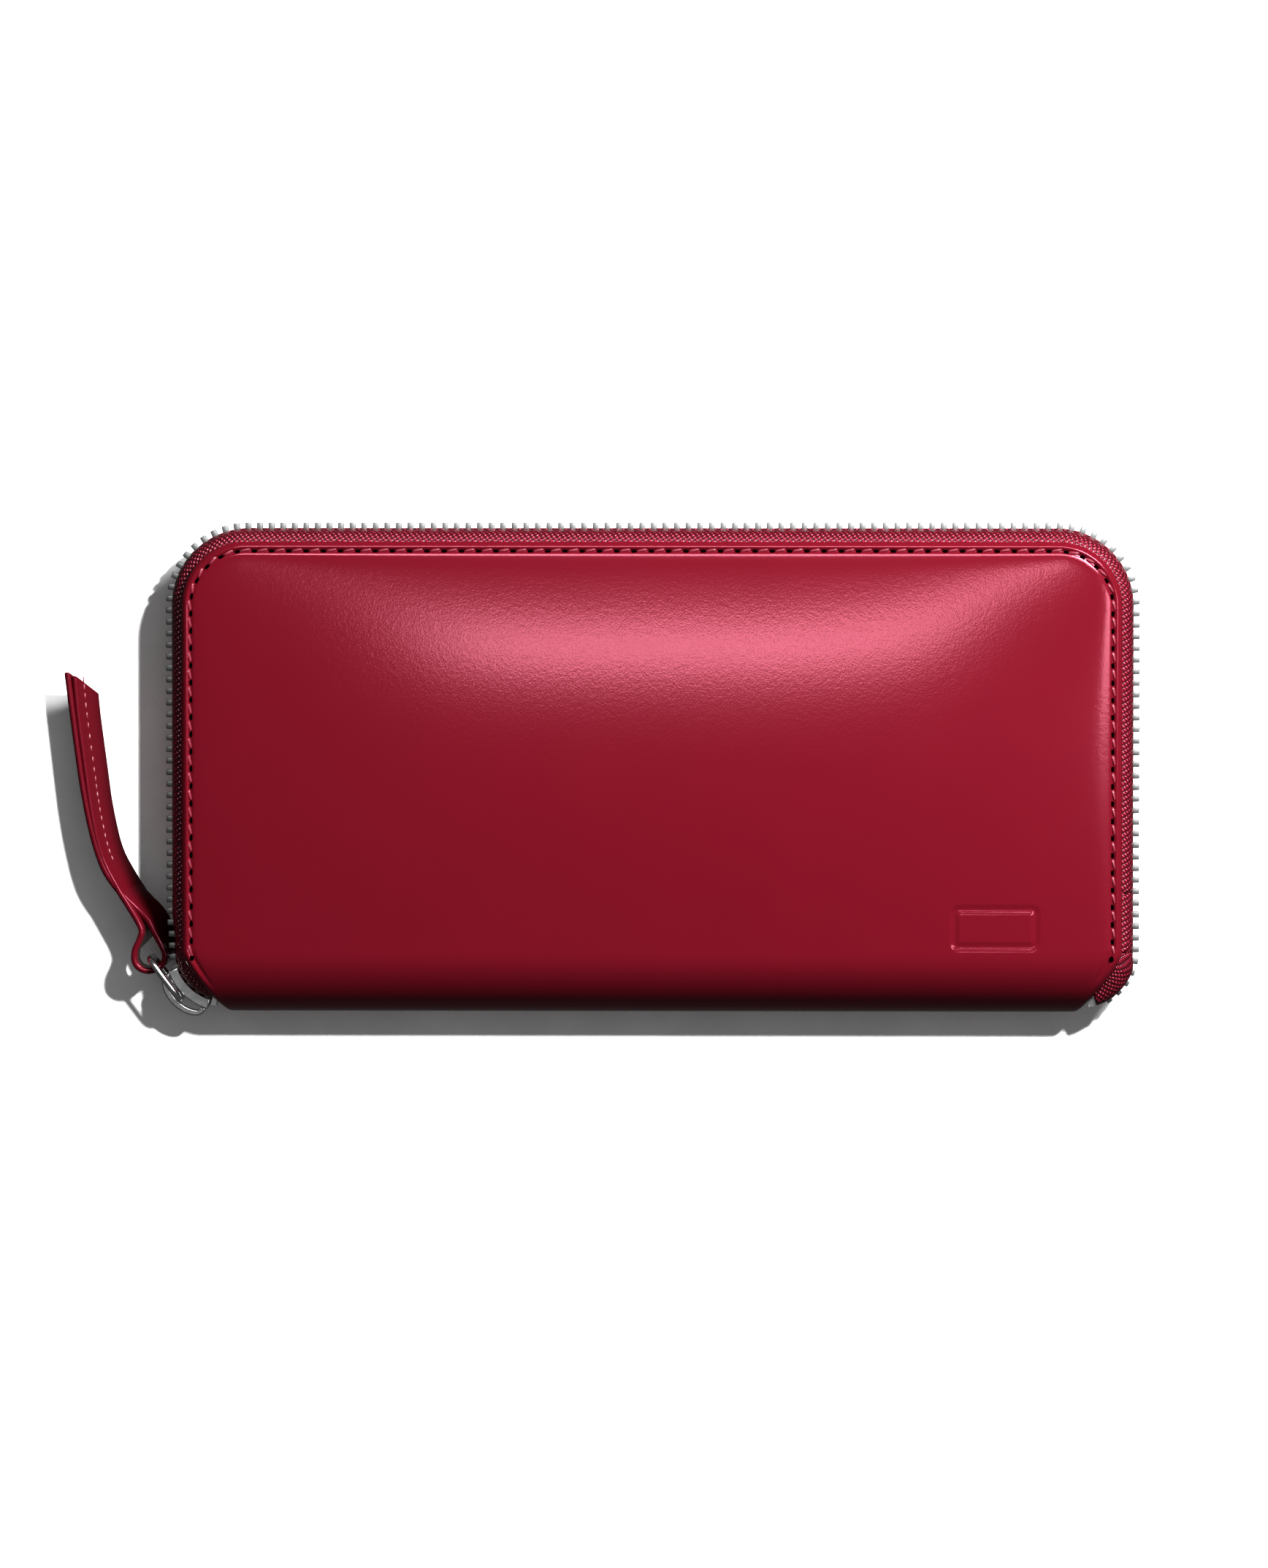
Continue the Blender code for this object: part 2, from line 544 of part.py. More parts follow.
# ---- coin pocket --------------------------------------------------------
def build_pocket(finish):
    """Zipped coin pocket between the bill compartments, hinged at the spine."""
    half, bottom = POCKET_HALF, POCKET_BOTTOM
    deep = POCKET_ROOM / 2 + POCKET_WALL
    inside = POCKET_ROOM / 2
    for name, low, high in (("pocket_back_panel", MID_Z - deep, MID_Z - inside),
                            ("pocket_front_panel", MID_Z + inside, MID_Z + deep)):
        place(name, block((-half, bottom, low), (half, POCKET_TOP, high)), finish["lining"], CREASE)
    wall = BINDING_WALL
    outer = [(-half, POCKET_TOP), (-half, bottom), (half, bottom), (half, POCKET_TOP)]
    inner = [(half - wall, POCKET_TOP), (half - wall, bottom + wall), (-half + wall, bottom + wall),
             (-half + wall, POCKET_TOP)]
    low = MID_Z - inside + GAP
    place("pocket_edge_binding",
          prism([Vector((x, y, low)) for x, y in outer + inner], (0, 0, 2 * (MID_Z - low))),
          finish["leather"], CREASE)

    zip_half = half - wall - GAP
    row_high = POCKET_TOP + POCKET_ROW_REACH
    row_low = row_high - TOOTH_ROW_HEIGHT
    tape_in = inside - GAP
    tape_out = tape_in - GAP
    row_in = OPEN_ROWS_GAP / 2
    row_half = zip_half - POCKET_ROW_INSET
    for name, sign in (("back", -1), ("front", 1)):
        spans = sorted((MID_Z + sign * tape_in, MID_Z + sign * tape_out))
        place(f"pocket_zip_tape_{name}",
              block((-zip_half, POCKET_TOP - POCKET_TAPE_DEPTH, spans[0]), (zip_half, row_high, spans[1])),
              finish["tape"], CREASE)
        spans = sorted((MID_Z + sign * row_in, MID_Z + sign * (tape_out - GAP)))
        place(f"pocket_zip_teeth_{name}",
              block((-row_half, row_low, spans[0]), (row_half, row_high, spans[1])),
              finish["teeth"], CREASE)
    for name, sign in (("left", -1), ("right", 1)):
        ends = sorted((sign * (zip_half - POCKET_STOP_FAR), sign * (zip_half - POCKET_STOP_NEAR)))
        place(f"pocket_zip_stop_{name}",
              block((ends[0], row_low, MID_Z - tape_out + GAP), (ends[1], row_high, MID_Z + tape_out - GAP)),
              finish["metal"], CREASE)

    x = POCKET_SLIDER_X
    reach = POCKET_SLIDER_LENGTH / 2
    plate_low = row_high + GAP
    plate_high = plate_low + SLIDER_WALL
    under_high = row_low - GAP
    under_low = under_high - SLIDER_WALL
    pivot = Vector((x, plate_high + POCKET_PIVOT_RISE, MID_Z))
    body = place("pocket_slider_body",
                 block((x - reach, plate_low, MID_Z - deep), (x + reach, plate_high, MID_Z + deep)),
                 finish["metal"], pivot)
    web = place("pocket_web_guide",
                block((x + POCKET_WEB_START, under_high - SLIDER_WALL / 2, MID_Z - WEDGE_WALL / 2),
                      (x + reach - POCKET_WEB_END, plate_low + SLIDER_WALL / 2, MID_Z + WEDGE_WALL / 2)),
                finish["metal"])
    under = place("pocket_under_guide",
                  block((x - reach, under_low, MID_Z - tape_out + GAP),
                        (x + reach, under_high, MID_Z + tape_out - GAP)), finish["metal"])
    join_with(body, web)
    join_with(body, under)

    base = plate_high + GAP
    top = base + POCKET_BAIL_RISE
    wide, inside_wide = POCKET_BAIL_HALF, POCKET_BAIL_HALF - POCKET_BAIL_WALL
    shoulder, under_top = top - POCKET_BAIL_BEVEL, top - POCKET_BAIL_WALL
    flat = wide - POCKET_BAIL_BEVEL
    bail_low = MID_Z - POCKET_BAIL_WIDTH / 2
    outline = [(-wide, base), (-wide, shoulder), (-flat, top), (flat, top), (wide, shoulder),
               (wide, base), (inside_wide, base), (inside_wide, under_top),
               (-inside_wide, under_top), (-inside_wide, base)]
    place("pocket_slider_bail",
          prism([Vector((x + across, y, bail_low)) for across, y in outline], (0, 0, POCKET_BAIL_WIDTH)),
          finish["metal"], pivot)
    pin_low, pin_high = pivot.y - POCKET_PIN_BELOW, pivot.y + POCKET_PIN_ABOVE
    tab_low, tab_top = pivot.y + PULLER_WINDOW_TOP, pivot.y + POCKET_PULLER_LENGTH
    wide, narrow = POCKET_PULLER_HALF, PULLER_WINDOW_HALF
    outer = [(pin_low, -wide), (tab_top, -wide), (tab_top, wide), (pin_low, wide)]
    window = [(pin_high, narrow), (tab_low, narrow), (tab_low, -narrow), (pin_high, -narrow)]
    thin = POCKET_PULLER_WALL / 2
    puller = place("pocket_puller",
                   prism([Vector((x - thin, y, MID_Z + z)) for y, z in outer], (2 * thin, 0, 0)),
                   finish["metal"], pivot)
    hole = place("puller_window_guide",
                 prism([Vector((x - 2 * thin, y, MID_Z + z)) for y, z in window], (4 * thin, 0, 0)),
                 finish["metal"])
    join_with(puller, hole, "DIFFERENCE")


def build_gussets(finish):
    """Folded sides of the bill compartments, pointing inwards."""
    top_of_cards = THICKNESS - CARD_DEPTH - CARD_SLOTS * CARD_PITCH
    pocket_face = MID_Z + POCKET_ROOM / 2 + POCKET_WALL
    low, high = pocket_face + GUSSET_POCKET_GAP, top_of_cards - GUSSET_CARD_GAP
    middle = (low + high) / 2
    bottom = BEND_Y - GUSSET_DROP
    fold_x = GUSSET_OUTER_X - GUSSET_FOLD
    for side_name, front in (("back", False), ("front", True)):
        for end_name, side in (("left", -1), ("right", 1)):
            outline = [(GUSSET_OUTER_X, low), (fold_x, middle), (GUSSET_OUTER_X, high),
                       (GUSSET_OUTER_X, high - GUSSET_WALL), (fold_x + GUSSET_FOLD_WALL, middle),
                       (GUSSET_OUTER_X, low + GUSSET_WALL)]
            points = [Vector((side * x, bottom, z)) for x, z in outline]
            if not front:
                points = [flipped(point) for point in points]
            place(f"gusset_{side_name}_{end_name}", prism(points, (0, GUSSET_HEIGHT, 0)),
                  finish["lining"], CREASE)


def main():
    for obj in list(bpy.data.objects):
        bpy.data.objects.remove(obj, do_unlink=True)
    finish = finishes()
    build_side("back", False, finish)
    build_side("front", True, finish)
    build_chain(finish)
    build_slider(finish)
    build_strap(finish)
    build_pocket(finish)
    build_gussets(finish)


main()
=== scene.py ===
import json
import math

import bmesh
import bpy
from bpy.props import FloatProperty, FloatVectorProperty, IntProperty, PointerProperty
from mathutils import Matrix, Vector


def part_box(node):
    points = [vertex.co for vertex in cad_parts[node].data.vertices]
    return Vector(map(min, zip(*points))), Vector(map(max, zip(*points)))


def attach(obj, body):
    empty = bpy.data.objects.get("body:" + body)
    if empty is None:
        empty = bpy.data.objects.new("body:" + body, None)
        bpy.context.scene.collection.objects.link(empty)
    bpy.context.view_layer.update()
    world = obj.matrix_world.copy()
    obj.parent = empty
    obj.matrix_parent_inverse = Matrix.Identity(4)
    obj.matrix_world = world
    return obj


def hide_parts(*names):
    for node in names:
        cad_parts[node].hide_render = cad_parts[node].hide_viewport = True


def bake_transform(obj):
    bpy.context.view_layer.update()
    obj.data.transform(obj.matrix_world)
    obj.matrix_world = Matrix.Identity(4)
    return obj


bl_info = {
    "name": "Zip Around Wallet",
    "version": (1, 0, 0),
    "blender": (4, 5, 0),
    "location": "View3D > Sidebar > Wallet",
    "description": "Builds a zip around wallet in glossy leather round its packed frame",
    "category": "Object",
}

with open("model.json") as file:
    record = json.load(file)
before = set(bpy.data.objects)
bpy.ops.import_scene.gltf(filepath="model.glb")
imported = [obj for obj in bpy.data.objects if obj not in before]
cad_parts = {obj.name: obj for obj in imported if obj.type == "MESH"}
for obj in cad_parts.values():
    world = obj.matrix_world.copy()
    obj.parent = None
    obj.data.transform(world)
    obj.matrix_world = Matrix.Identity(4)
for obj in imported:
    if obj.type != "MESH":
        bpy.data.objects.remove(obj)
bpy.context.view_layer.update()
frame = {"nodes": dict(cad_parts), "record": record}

MM = 0.001
COVER_LOW, COVER_HIGH = (Vector(corner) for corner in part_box("front_cover"))
JOINTS = {joint["name"]: joint for joint in frame["record"]["behaviour"]["joints"]}

HALF_LENGTH = COVER_HIGH.x
SPINE_Y = COVER_LOW.y
EDGE_Y = COVER_HIGH.y
THICKNESS = COVER_HIGH.z
MID_Z = THICKNESS / 2
SPINE_RADIUS = THICKNESS / 2
BEND_Y = SPINE_Y + SPINE_RADIUS
CORNER_RADIUS = 13.0 * MM
CORNER_X = HALF_LENGTH - CORNER_RADIUS
CORNER_Y = EDGE_Y - CORNER_RADIUS
TURN = Vector(JOINTS["slider_run"]["pos_m"])
TURN_X = -TURN.x
TURN_RADIUS = HALF_LENGTH - TURN_X
TAPER_POWER = 1.3
RING_PIVOT = Vector(JOINTS["ring_swing"]["pos_m"])
STRAP_PIVOT = Vector(JOINTS["strap_swing"]["pos_m"])
UP = Vector((0.0, 0.0, 1.0))


# ---- settings -----------------------------------------------------------
class WalletLeather(bpy.types.PropertyGroup):
    red: FloatVectorProperty(name="Leather", description="Colour of the covers and strap",
                             subtype="COLOR", default=(0.235, 0.007, 0.019))
    thread: FloatVectorProperty(name="Thread", description="Colour of the stitches",
                                subtype="COLOR", default=(0.46, 0.055, 0.095))
    wall: FloatProperty(name="Wall", description="Thickness of the cover leather",
                        unit="LENGTH", default=1.1 * MM)
    crown: FloatProperty(name="Crown", description="How far the padded front rises",
                         unit="LENGTH", default=2.7 * MM)
    stitch_inset: FloatProperty(name="Stitch inset", description="Stitch line in from the edge",
                                unit="LENGTH", default=1.8 * MM)
    stitch_pitch: FloatProperty(name="Stitch pitch", description="From hole to hole",
                                unit="LENGTH", default=3.5 * MM)


class WalletZip(bpy.types.PropertyGroup):
    tape: FloatVectorProperty(name="Tape", description="Colour of the woven tape",
                              subtype="COLOR", default=(0.27, 0.011, 0.030))
    nickel: FloatVectorProperty(name="Nickel", description="Colour of the teeth",
                                subtype="COLOR", default=(0.42, 0.43, 0.43))
    pitch: FloatProperty(name="Tooth pitch", description="From tooth to tooth in one row",
                         unit="LENGTH", default=2.35 * MM)
    tooth: FloatProperty(name="Tooth width", description="Tooth size along the chain",
                         unit="LENGTH", default=1.3 * MM)


class WalletInside(bpy.types.PropertyGroup):
    lining: FloatVectorProperty(name="Lining", description="Colour of the woven lining",
                                subtype="COLOR", default=(0.050, 0.006, 0.011))
    slot: FloatVectorProperty(name="Card slot", description="Colour of the card slot leather",
                              subtype="COLOR", default=(0.115, 0.007, 0.014))


class WalletStage(bpy.types.PropertyGroup):
    lens: FloatProperty(name="Lens", description="Focal length in millimetres", default=250.0)
    tilt_right: FloatProperty(name="Tilt right", description="Camera tilt towards +X",
                              subtype="ANGLE", default=math.radians(1.3))
    tilt_up: FloatProperty(name="Tilt up", description="Camera tilt towards +Y",
                           subtype="ANGLE", default=math.radians(2.4))
    floor_size: IntProperty(name="Floor", description="Floor width in metres", default=4)


# ---- shader node groups and materials -----------------------------------
def add_group(name, inputs, outputs):
    """An empty node group with its sockets; inputs are (name, type, default)."""
    group = bpy.data.node_groups.new(name, "ShaderNodeTree")
    for label, kind, value in inputs:
        socket = group.interface.new_socket(label, in_out="INPUT", socket_type=kind)
        if value is not None:
            socket.default_value = value
    for label, kind in outputs:
        group.interface.new_socket(label, in_out="OUTPUT", socket_type=kind)
    return group, group.nodes.new("NodeGroupInput"), group.nodes.new("NodeGroupOutput")


def link(tree, source, target):
    tree.links.new(source, target)


def math_node(tree, operation, first, second=None):
    node = tree.nodes.new("ShaderNodeMath")
    node.operation = operation
    for index, value in enumerate((first, second)):
        if value is None:
            continue
        if isinstance(value, (int, float)):
            node.inputs[index].default_value = value
        else:
            link(tree, value, node.inputs[index])
    return node.outputs[0]


def grain_group():
    """Fine leather pores and soft unevenness, as a height and a tone mask."""
    group, entry, out = add_group(
        "leather_grain",
        [("Vector", "NodeSocketVector", None), ("Pore scale", "NodeSocketFloat", 2600.0),
         ("Pore depth", "NodeSocketFloat", 0.5), ("Cloud scale", "NodeSocketFloat", 60.0)],
        [("Height", "NodeSocketFloat"), ("Cloud", "NodeSocketFloat")])
    pores = group.nodes.new("ShaderNodeTexVoronoi")
    fine = group.nodes.new("ShaderNodeTexNoise")
    cloud = group.nodes.new("ShaderNodeTexNoise")
    fine.inputs["Detail"].default_value = 4.0
    cloud.inputs["Detail"].default_value = 3.0
    for node in (pores, fine, cloud):
        link(group, entry.outputs["Vector"], node.inputs["Vector"])
    link(group, entry.outputs["Pore scale"], pores.inputs["Scale"])
    link(group, math_node(group, "MULTIPLY", entry.outputs["Pore scale"], 0.4), fine.inputs["Scale"])
    link(group, entry.outputs["Cloud scale"], cloud.inputs["Scale"])
    dips = math_node(group, "MULTIPLY", pores.outputs["Distance"], entry.outputs["Pore depth"])
    link(group, math_node(group, "ADD", dips, fine.outputs["Fac"]), out.inputs["Height"])
    link(group, cloud.outputs["Fac"], out.inputs["Cloud"])
    return group


def twill_group():
    """Slanted ribs crossed by threads, from a UV in metres; the Glint output is a mask for painted highlight
    on the raised ribs.
    """
    group, entry, out = add_group(
        "twill_weave",
        [("Vector", "NodeSocketVector", None), ("Rib pitch", "NodeSocketFloat", 0.0009),
         ("Slant", "NodeSocketFloat", 0.55)],
        [("Height", "NodeSocketFloat"), ("Glint", "NodeSocketFloat")])
    split = group.nodes.new("ShaderNodeSeparateXYZ")
    link(group, entry.outputs["Vector"], split.inputs[0])
    along, across = split.outputs["X"], split.outputs["Y"]
    turns = math_node(group, "DIVIDE", 2 * math.pi, entry.outputs["Rib pitch"])
    wobble = group.nodes.new("ShaderNodeTexNoise")
    wobble.inputs["Scale"].default_value = 900.0
    link(group, entry.outputs["Vector"], wobble.inputs["Vector"])
    slide = math_node(group, "MULTIPLY", across, entry.outputs["Slant"])
    shift = math_node(group, "MULTIPLY", wobble.outputs["Fac"], 0.0004)
    path = math_node(group, "ADD", math_node(group, "ADD", along, slide), shift)
    rib = math_node(group, "SINE", math_node(group, "MULTIPLY", path, turns))
    cross = math_node(group, "SUBTRACT", math_node(group, "MULTIPLY", across, 1.6), along)
    cross_turns = math_node(group, "MULTIPLY", turns, 0.8)
    thread = math_node(group, "SINE", math_node(group, "MULTIPLY", cross, cross_turns))
    raised_rib = math_node(group, "ADD", rib, 1.2)
    height = math_node(group, "MULTIPLY", raised_rib, math_node(group, "ADD", thread, 1.3))
    link(group, math_node(group, "MULTIPLY", height, 0.2), out.inputs["Height"])
    # Glint: where painted highlight goes on the raised ribs
    glint = group.nodes.new("ShaderNodeMapRange")
    glint.inputs["From Min"].default_value = 1.6
    glint.inputs["From Max"].default_value = 4.6
    link(group, height, glint.inputs["Value"])
    link(group, glint.outputs[0], out.inputs["Glint"])
    return group


def wear_group():
    """Fine brushed scratches for metal, as a roughness mask and a height."""
    group, entry, out = add_group(
        "metal_wear", [("Vector", "NodeSocketVector", None), ("Scale", "NodeSocketFloat", 700.0)],
        [("Mask", "NodeSocketFloat"), ("Height", "NodeSocketFloat")])
    stretch = group.nodes.new("ShaderNodeMapping")
    stretch.inputs["Scale"].default_value = (1.0, 1.0, 0.15)
    noise = group.nodes.new("ShaderNodeTexNoise")
    noise.inputs["Detail"].default_value = 5.0
    link(group, entry.outputs["Vector"], stretch.inputs["Vector"])
    link(group, stretch.outputs["Vector"], noise.inputs["Vector"])
    link(group, entry.outputs["Scale"], noise.inputs["Scale"])
    link(group, noise.outputs["Fac"], out.inputs["Mask"])
    link(group, noise.outputs["Fac"], out.inputs["Height"])
    return group


def shared_group(name, maker):
    return bpy.data.node_groups.get(name) or maker()


def start_material(name):
    """A material with its Principled shader, its tree and an Object coordinate output."""
    made = bpy.data.materials.new(name)
    made.use_nodes = True
    tree = made.node_tree
    shader = tree.nodes["Principled BSDF"]
    coordinates = tree.nodes.new("ShaderNodeTexCoord")
    return made, tree, shader, coordinates


def use_group(tree, group, vector, **values):
    node = tree.nodes.new("ShaderNodeGroup")
    node.node_tree = group
    link(tree, vector, node.inputs["Vector"])
    for label, value in values.items():
        node.inputs[label.replace("_", " ")].default_value = value
    return node


def add_bump(tree, shader, height, strength, distance):
    bump = tree.nodes.new("ShaderNodeBump")
    bump.inputs["Strength"].default_value = strength
    bump.inputs["Distance"].default_value = distance
    link(tree, height, bump.inputs["Height"])
    link(tree, bump.outputs["Normal"], shader.inputs["Normal"])


def span_node(tree, value, low, high):
    """Maps a 0 to 1 value onto low to high."""
    node = tree.nodes.new("ShaderNodeMapRange")
    node.inputs["To Min"].default_value = low
    node.inputs["To Max"].default_value = high
    link(tree, value, node.inputs["Value"])
    return node.outputs[0]


def tone_mix(tree, mask, dark, light):
    mix = tree.nodes.new("ShaderNodeMix")
    mix.data_type = "RGBA"
    mix.inputs["A"].default_value = (*dark, 1.0)
    mix.inputs["B"].default_value = (*light, 1.0)
    link(tree, mask, mix.inputs["Factor"])
    return mix.outputs["Result"]


def scaled(colour, factor):
    return tuple(min(part * factor, 1.0) for part in colour)


def leather_material(name, colour, rough_low, rough_high, depth, coat, gloss=0.5):
    made, tree, shader, coordinates = start_material(name)
    grain = use_group(tree, shared_group("leather_grain", grain_group), coordinates.outputs["Object"])
    link(tree, tone_mix(tree, grain.outputs["Cloud"], scaled(colour, 0.96), scaled(colour, 1.04)),
         shader.inputs["Base Color"])
    link(tree, span_node(tree, grain.outputs["Cloud"], rough_low, rough_high), shader.inputs["Roughness"])
    shader.inputs["Specular Tint"].default_value = (1.0, 0.24, 0.37, 1.0)
    shader.inputs["IOR"].default_value = 1.6
    shader.inputs["Specular IOR Level"].default_value = gloss
    shader.inputs["Coat Weight"].default_value = coat
    shader.inputs["Coat Roughness"].default_value = 0.12
    shader.inputs["Coat Tint"].default_value = (1.0, 0.82, 0.86, 1.0)
    add_bump(tree, shader, grain.outputs["Height"], 0.35, depth)
    return made


def cloth_material(name, colour, pitch, slant, coordinate="UV", glint=2.4):
    made, tree, shader, coordinates = start_material(name)
    weave = use_group(tree, shared_group("twill_weave", twill_group), coordinates.outputs[coordinate],
                      Rib_pitch=pitch, Slant=slant)
    # Painted highlight and shade: the glint mask lightens the raised ribs and darkens between them in the
    # base colour
    link(tree, tone_mix(tree, weave.outputs["Glint"], scaled(colour, 0.40), scaled(colour, glint)),
         shader.inputs["Base Color"])
    shader.inputs["Roughness"].default_value = 0.27
    shader.inputs["IOR"].default_value = 1.7
    shader.inputs["Specular Tint"].default_value = (1.0, 0.45, 0.55, 1.0)
    add_bump(tree, shader, weave.outputs["Height"], 0.8, pitch * 0.28)
    return made


def metal_material(name, colour, rough_low, rough_high):
    made, tree, shader, coordinates = start_material(name)
    wear = use_group(tree, shared_group("metal_wear", wear_group), coordinates.outputs["Object"])
    shader.inputs["Metallic"].default_value = 1.0
    link(tree, tone_mix(tree, wear.outputs["Mask"], scaled(colour, 0.8), scaled(colour, 1.25)),
         shader.inputs["Base Color"])
    link(tree, span_node(tree, wear.outputs["Mask"], rough_low, rough_high), shader.inputs["Roughness"])
    add_bump(tree, shader, wear.outputs["Height"], 0.05, 0.00002)
    return made


def plain_material(name, colour, roughness, gloss=0.5):
    """Thread, board or foam: mottled, with a soft nap."""
    made, tree, shader, coordinates = start_material(name)
    grain = use_group(tree, shared_group("leather_grain", grain_group), coordinates.outputs["Object"])
    link(tree, tone_mix(tree, grain.outputs["Cloud"], scaled(colour, 0.8), scaled(colour, 1.2)),
         shader.inputs["Base Color"])
    shader.inputs["Roughness"].default_value = roughness
    shader.inputs["Specular IOR Level"].default_value = gloss
    add_bump(tree, shader, grain.outputs["Height"], 0.5, 0.00008)
    return made


def finish(name):
    """The wallet's finishes, each made once."""
    label = f"wallet_{name}"
    ready = bpy.data.materials.get(label)
    if ready:
        return ready
    scene = bpy.context.scene
    leather, chain, inside = scene.wallet_leather, scene.wallet_zip, scene.wallet_inside
    makers = {
        "cover_leather": lambda: leather_material(label, leather.red, 0.112, 0.122, 0.02 * MM, 0.10),
        # the strap is the cover leather made darker: painted shade, as its face turns to the key light
        "strap_leather": lambda: leather_material(label, scaled(leather.red, 0.78), 0.16, 0.22,
                                                  0.03 * MM, 0.0, gloss=0.30),
        "slot_leather": lambda: leather_material(label, inside.slot, 0.42, 0.58, 0.06 * MM, 0.0),
        "thread": lambda: plain_material(label, leather.thread, 0.18),
        # near black: painted shade for the needle holes
        "painted_hole_shade": lambda: plain_material(label, (0.002, 0.0005, 0.0005), 0.9, 0.0),
        "tape": lambda: cloth_material(label, chain.tape, 1.05 * MM, 0.55, "UV", 3.2),
        "lining": lambda: cloth_material(label, inside.lining, 0.6 * MM, 1.0, "Object", 1.6),
        # the teeth take the nickel made darker: painted shade against the strong glint lights
        "teeth": lambda: metal_material(label, scaled(chain.nickel, 0.38), 0.42, 0.52),
        # the slider, ring and stops take the nickel made lighter: painted light in place of bright
        # surroundings to reflect
        "slider_metal": lambda: metal_material(label, scaled(chain.nickel, 2.0), 0.20, 0.26),
        "board": lambda: plain_material(label, (0.30, 0.25, 0.19), 0.9),
        "foam": lambda: plain_material(label, (0.66, 0.64, 0.60), 0.95),
        "floor": lambda: plain_material(label, (0.92, 0.92, 0.92), 0.9),
    }
    return makers[name]()


# ---- mesh helpers -------------------------------------------------------
def finish_piece(name, mesh_data, material, angle=40.0, recalc=True):
    """A named object at the origin from a bmesh, smooth up to an angle."""
    if recalc:
        bmesh.ops.recalc_face_normals(mesh_data, faces=mesh_data.faces)
    mesh = bpy.data.meshes.new(name)
    mesh_data.to_mesh(mesh)
    mesh_data.free()
    mesh.materials.append(material)
    obj = bpy.data.objects.new(name, mesh)
    bpy.context.scene.collection.objects.link(obj)
    mesh.shade_smooth()
    mesh.set_sharp_from_angle(angle=math.radians(angle))
    return obj


def wall(obj, thickness, offset=-1.0):
    change = obj.modifiers.new("wall", "SOLIDIFY")
    change.thickness = thickness
    change.offset = offset
    change.use_even_offset = True
    return change


def round_edges(obj, width, segments=2, angle=35.0):
    change = obj.modifiers.new("round", "BEVEL")
    change.width = width
    change.segments = segments
    change.limit_method = "ANGLE"
    change.angle_limit = math.radians(angle)
    return change


def sweep(bm, sections, closed_loop=False, cap=True, closed_section=True):
    """Extrudes a first section through the rest; each section is a list of points."""
    verts = [bm.verts.new(point) for point in sections[0]]
    pairs = list(zip(verts, verts[1:]))
    if closed_section:
        pairs.append((verts[-1], verts[0]))
    edges = [bm.edges.new(pair) for pair in pairs]
    first_verts, first_edges = verts, edges
    for section in sections[1:]:
        made = bmesh.ops.extrude_edge_only(bm, edges=edges)["geom"]
        made_verts = {item for item in made if isinstance(item, bmesh.types.BMVert)}
        # each old vertex has one new neighbour, reached by a side edge
        ordered = []
        for vert in verts:
            ordered.append(next(edge.other_vert(vert) for edge in vert.link_edges
                                if edge.other_vert(vert) in made_verts))
        for vert, point in zip(ordered, section):
            vert.co = point
        made_edges = {item for item in made if isinstance(item, bmesh.types.BMEdge)}
        edges = [edge for edge in made_edges if all(vert in made_verts for vert in edge.verts)]
        verts = ordered
    if closed_loop:
        bmesh.ops.bridge_loops(bm, edges=first_edges + edges)
    elif cap and closed_section:
        bm.faces.new(first_verts)
        bm.faces.new(verts)
    return bm


def section_uv(bm, sections):
    """UV in metres on a swept sheet: along the sweep and across it."""
    layer = bm.loops.layers.uv.new("UVMap")
    along, places = 0.0, {}
    previous = None
    for section in sections:
        middle = section[len(section) // 2]
        along += (Vector(middle) - previous).length if previous is not None else 0.0
        previous = Vector(middle)
        across, last = 0.0, None
        for point in section:
            across += (Vector(point) - last).length if last is not None else 0.0
            last = Vector(point)
            places[tuple(round(part, 7) for part in point)] = (along, across)
    for face in bm.faces:
        for loop in face.loops:
            loop[layer].uv = places.get(tuple(round(part, 7) for part in loop.vert.co), (0.0, 0.0))


def smoothstep(low, high, value):
    share = min(max((value - low) / (high - low), 0.0), 1.0)
    return share * share * (3 - 2 * share)


def other_side(point):
    return Vector((point[0], point[1], THICKNESS - point[2]))


# ---- leather covers -----------------------------------------------------
def half_width(y, inset=0.0):
    """Half the cover's length at y."""
    reach = HALF_LENGTH - inset
    if y > CORNER_Y:
        radius = CORNER_RADIUS - inset
        reach = CORNER_X + math.sqrt(max(radius ** 2 - (y - CORNER_Y) ** 2, 0.0))
    elif y < BEND_Y:
        turned = min((BEND_Y - y) / SPINE_RADIUS, 1.0)
        reach -= TURN_RADIUS * turned ** TAPER_POWER
    return reach


def edge_distance(x, y):
    """How far a place on the cover is from its edge."""
    x = abs(x)
    if y > CORNER_Y and x > CORNER_X:
        return CORNER_RADIUS - math.hypot(x - CORNER_X, y - CORNER_Y)
    side = half_width(min(y, CORNER_Y)) - x
    if y < BEND_Y:
        side *= 0.85
    return min(side, EDGE_Y - y)


def stamp_depth(x, y):
    """A blank rounded frame pressed into the lower right of the front."""
    middle, half, radius = Vector((69.4 * MM, -31.7 * MM)), Vector((8.9 * MM, 4.5 * MM)), 1.6 * MM
    past_x, past_y = abs(x - middle.x) - half.x, abs(y - middle.y) - half.y
    reach = Vector((max(past_x + radius, 0.0), max(past_y + radius, 0.0)))
    edge = reach.length - radius
    if reach.length == 0.0:
        edge = max(past_x, past_y)
    band = abs(edge + 0.7 * MM)
    return -0.22 * MM * (1.0 - smoothstep(0.35 * MM, 0.85 * MM, band))


SEAM_FADE = (-45.0 * MM, -38.5 * MM)   # Y places over which the sewn edge fades in
EDGE_ROLL = 0.50 * MM          # how far the cut edge rolls down
EDGE_ROLL_WIDTH = 1.05 * MM
RIM_RISE = 0.26 * MM           # between the edge and the stitches
GROOVE_DEPTH = 0.28 * MM       # along the stitches
GROOVE_WIDTH = 0.36 * MM
PUFF_RISE = 0.22 * MM          # just inside the stitches
PUFF_WIDTH = 1.4 * MM
DOME_BELOW_BEND = 14.0 * MM    # how far round the spine the padding fades out
DOME_START, DOME_END, DOME_SIDES = 3.2, 4.0, 3.4    # how full its three slopes are


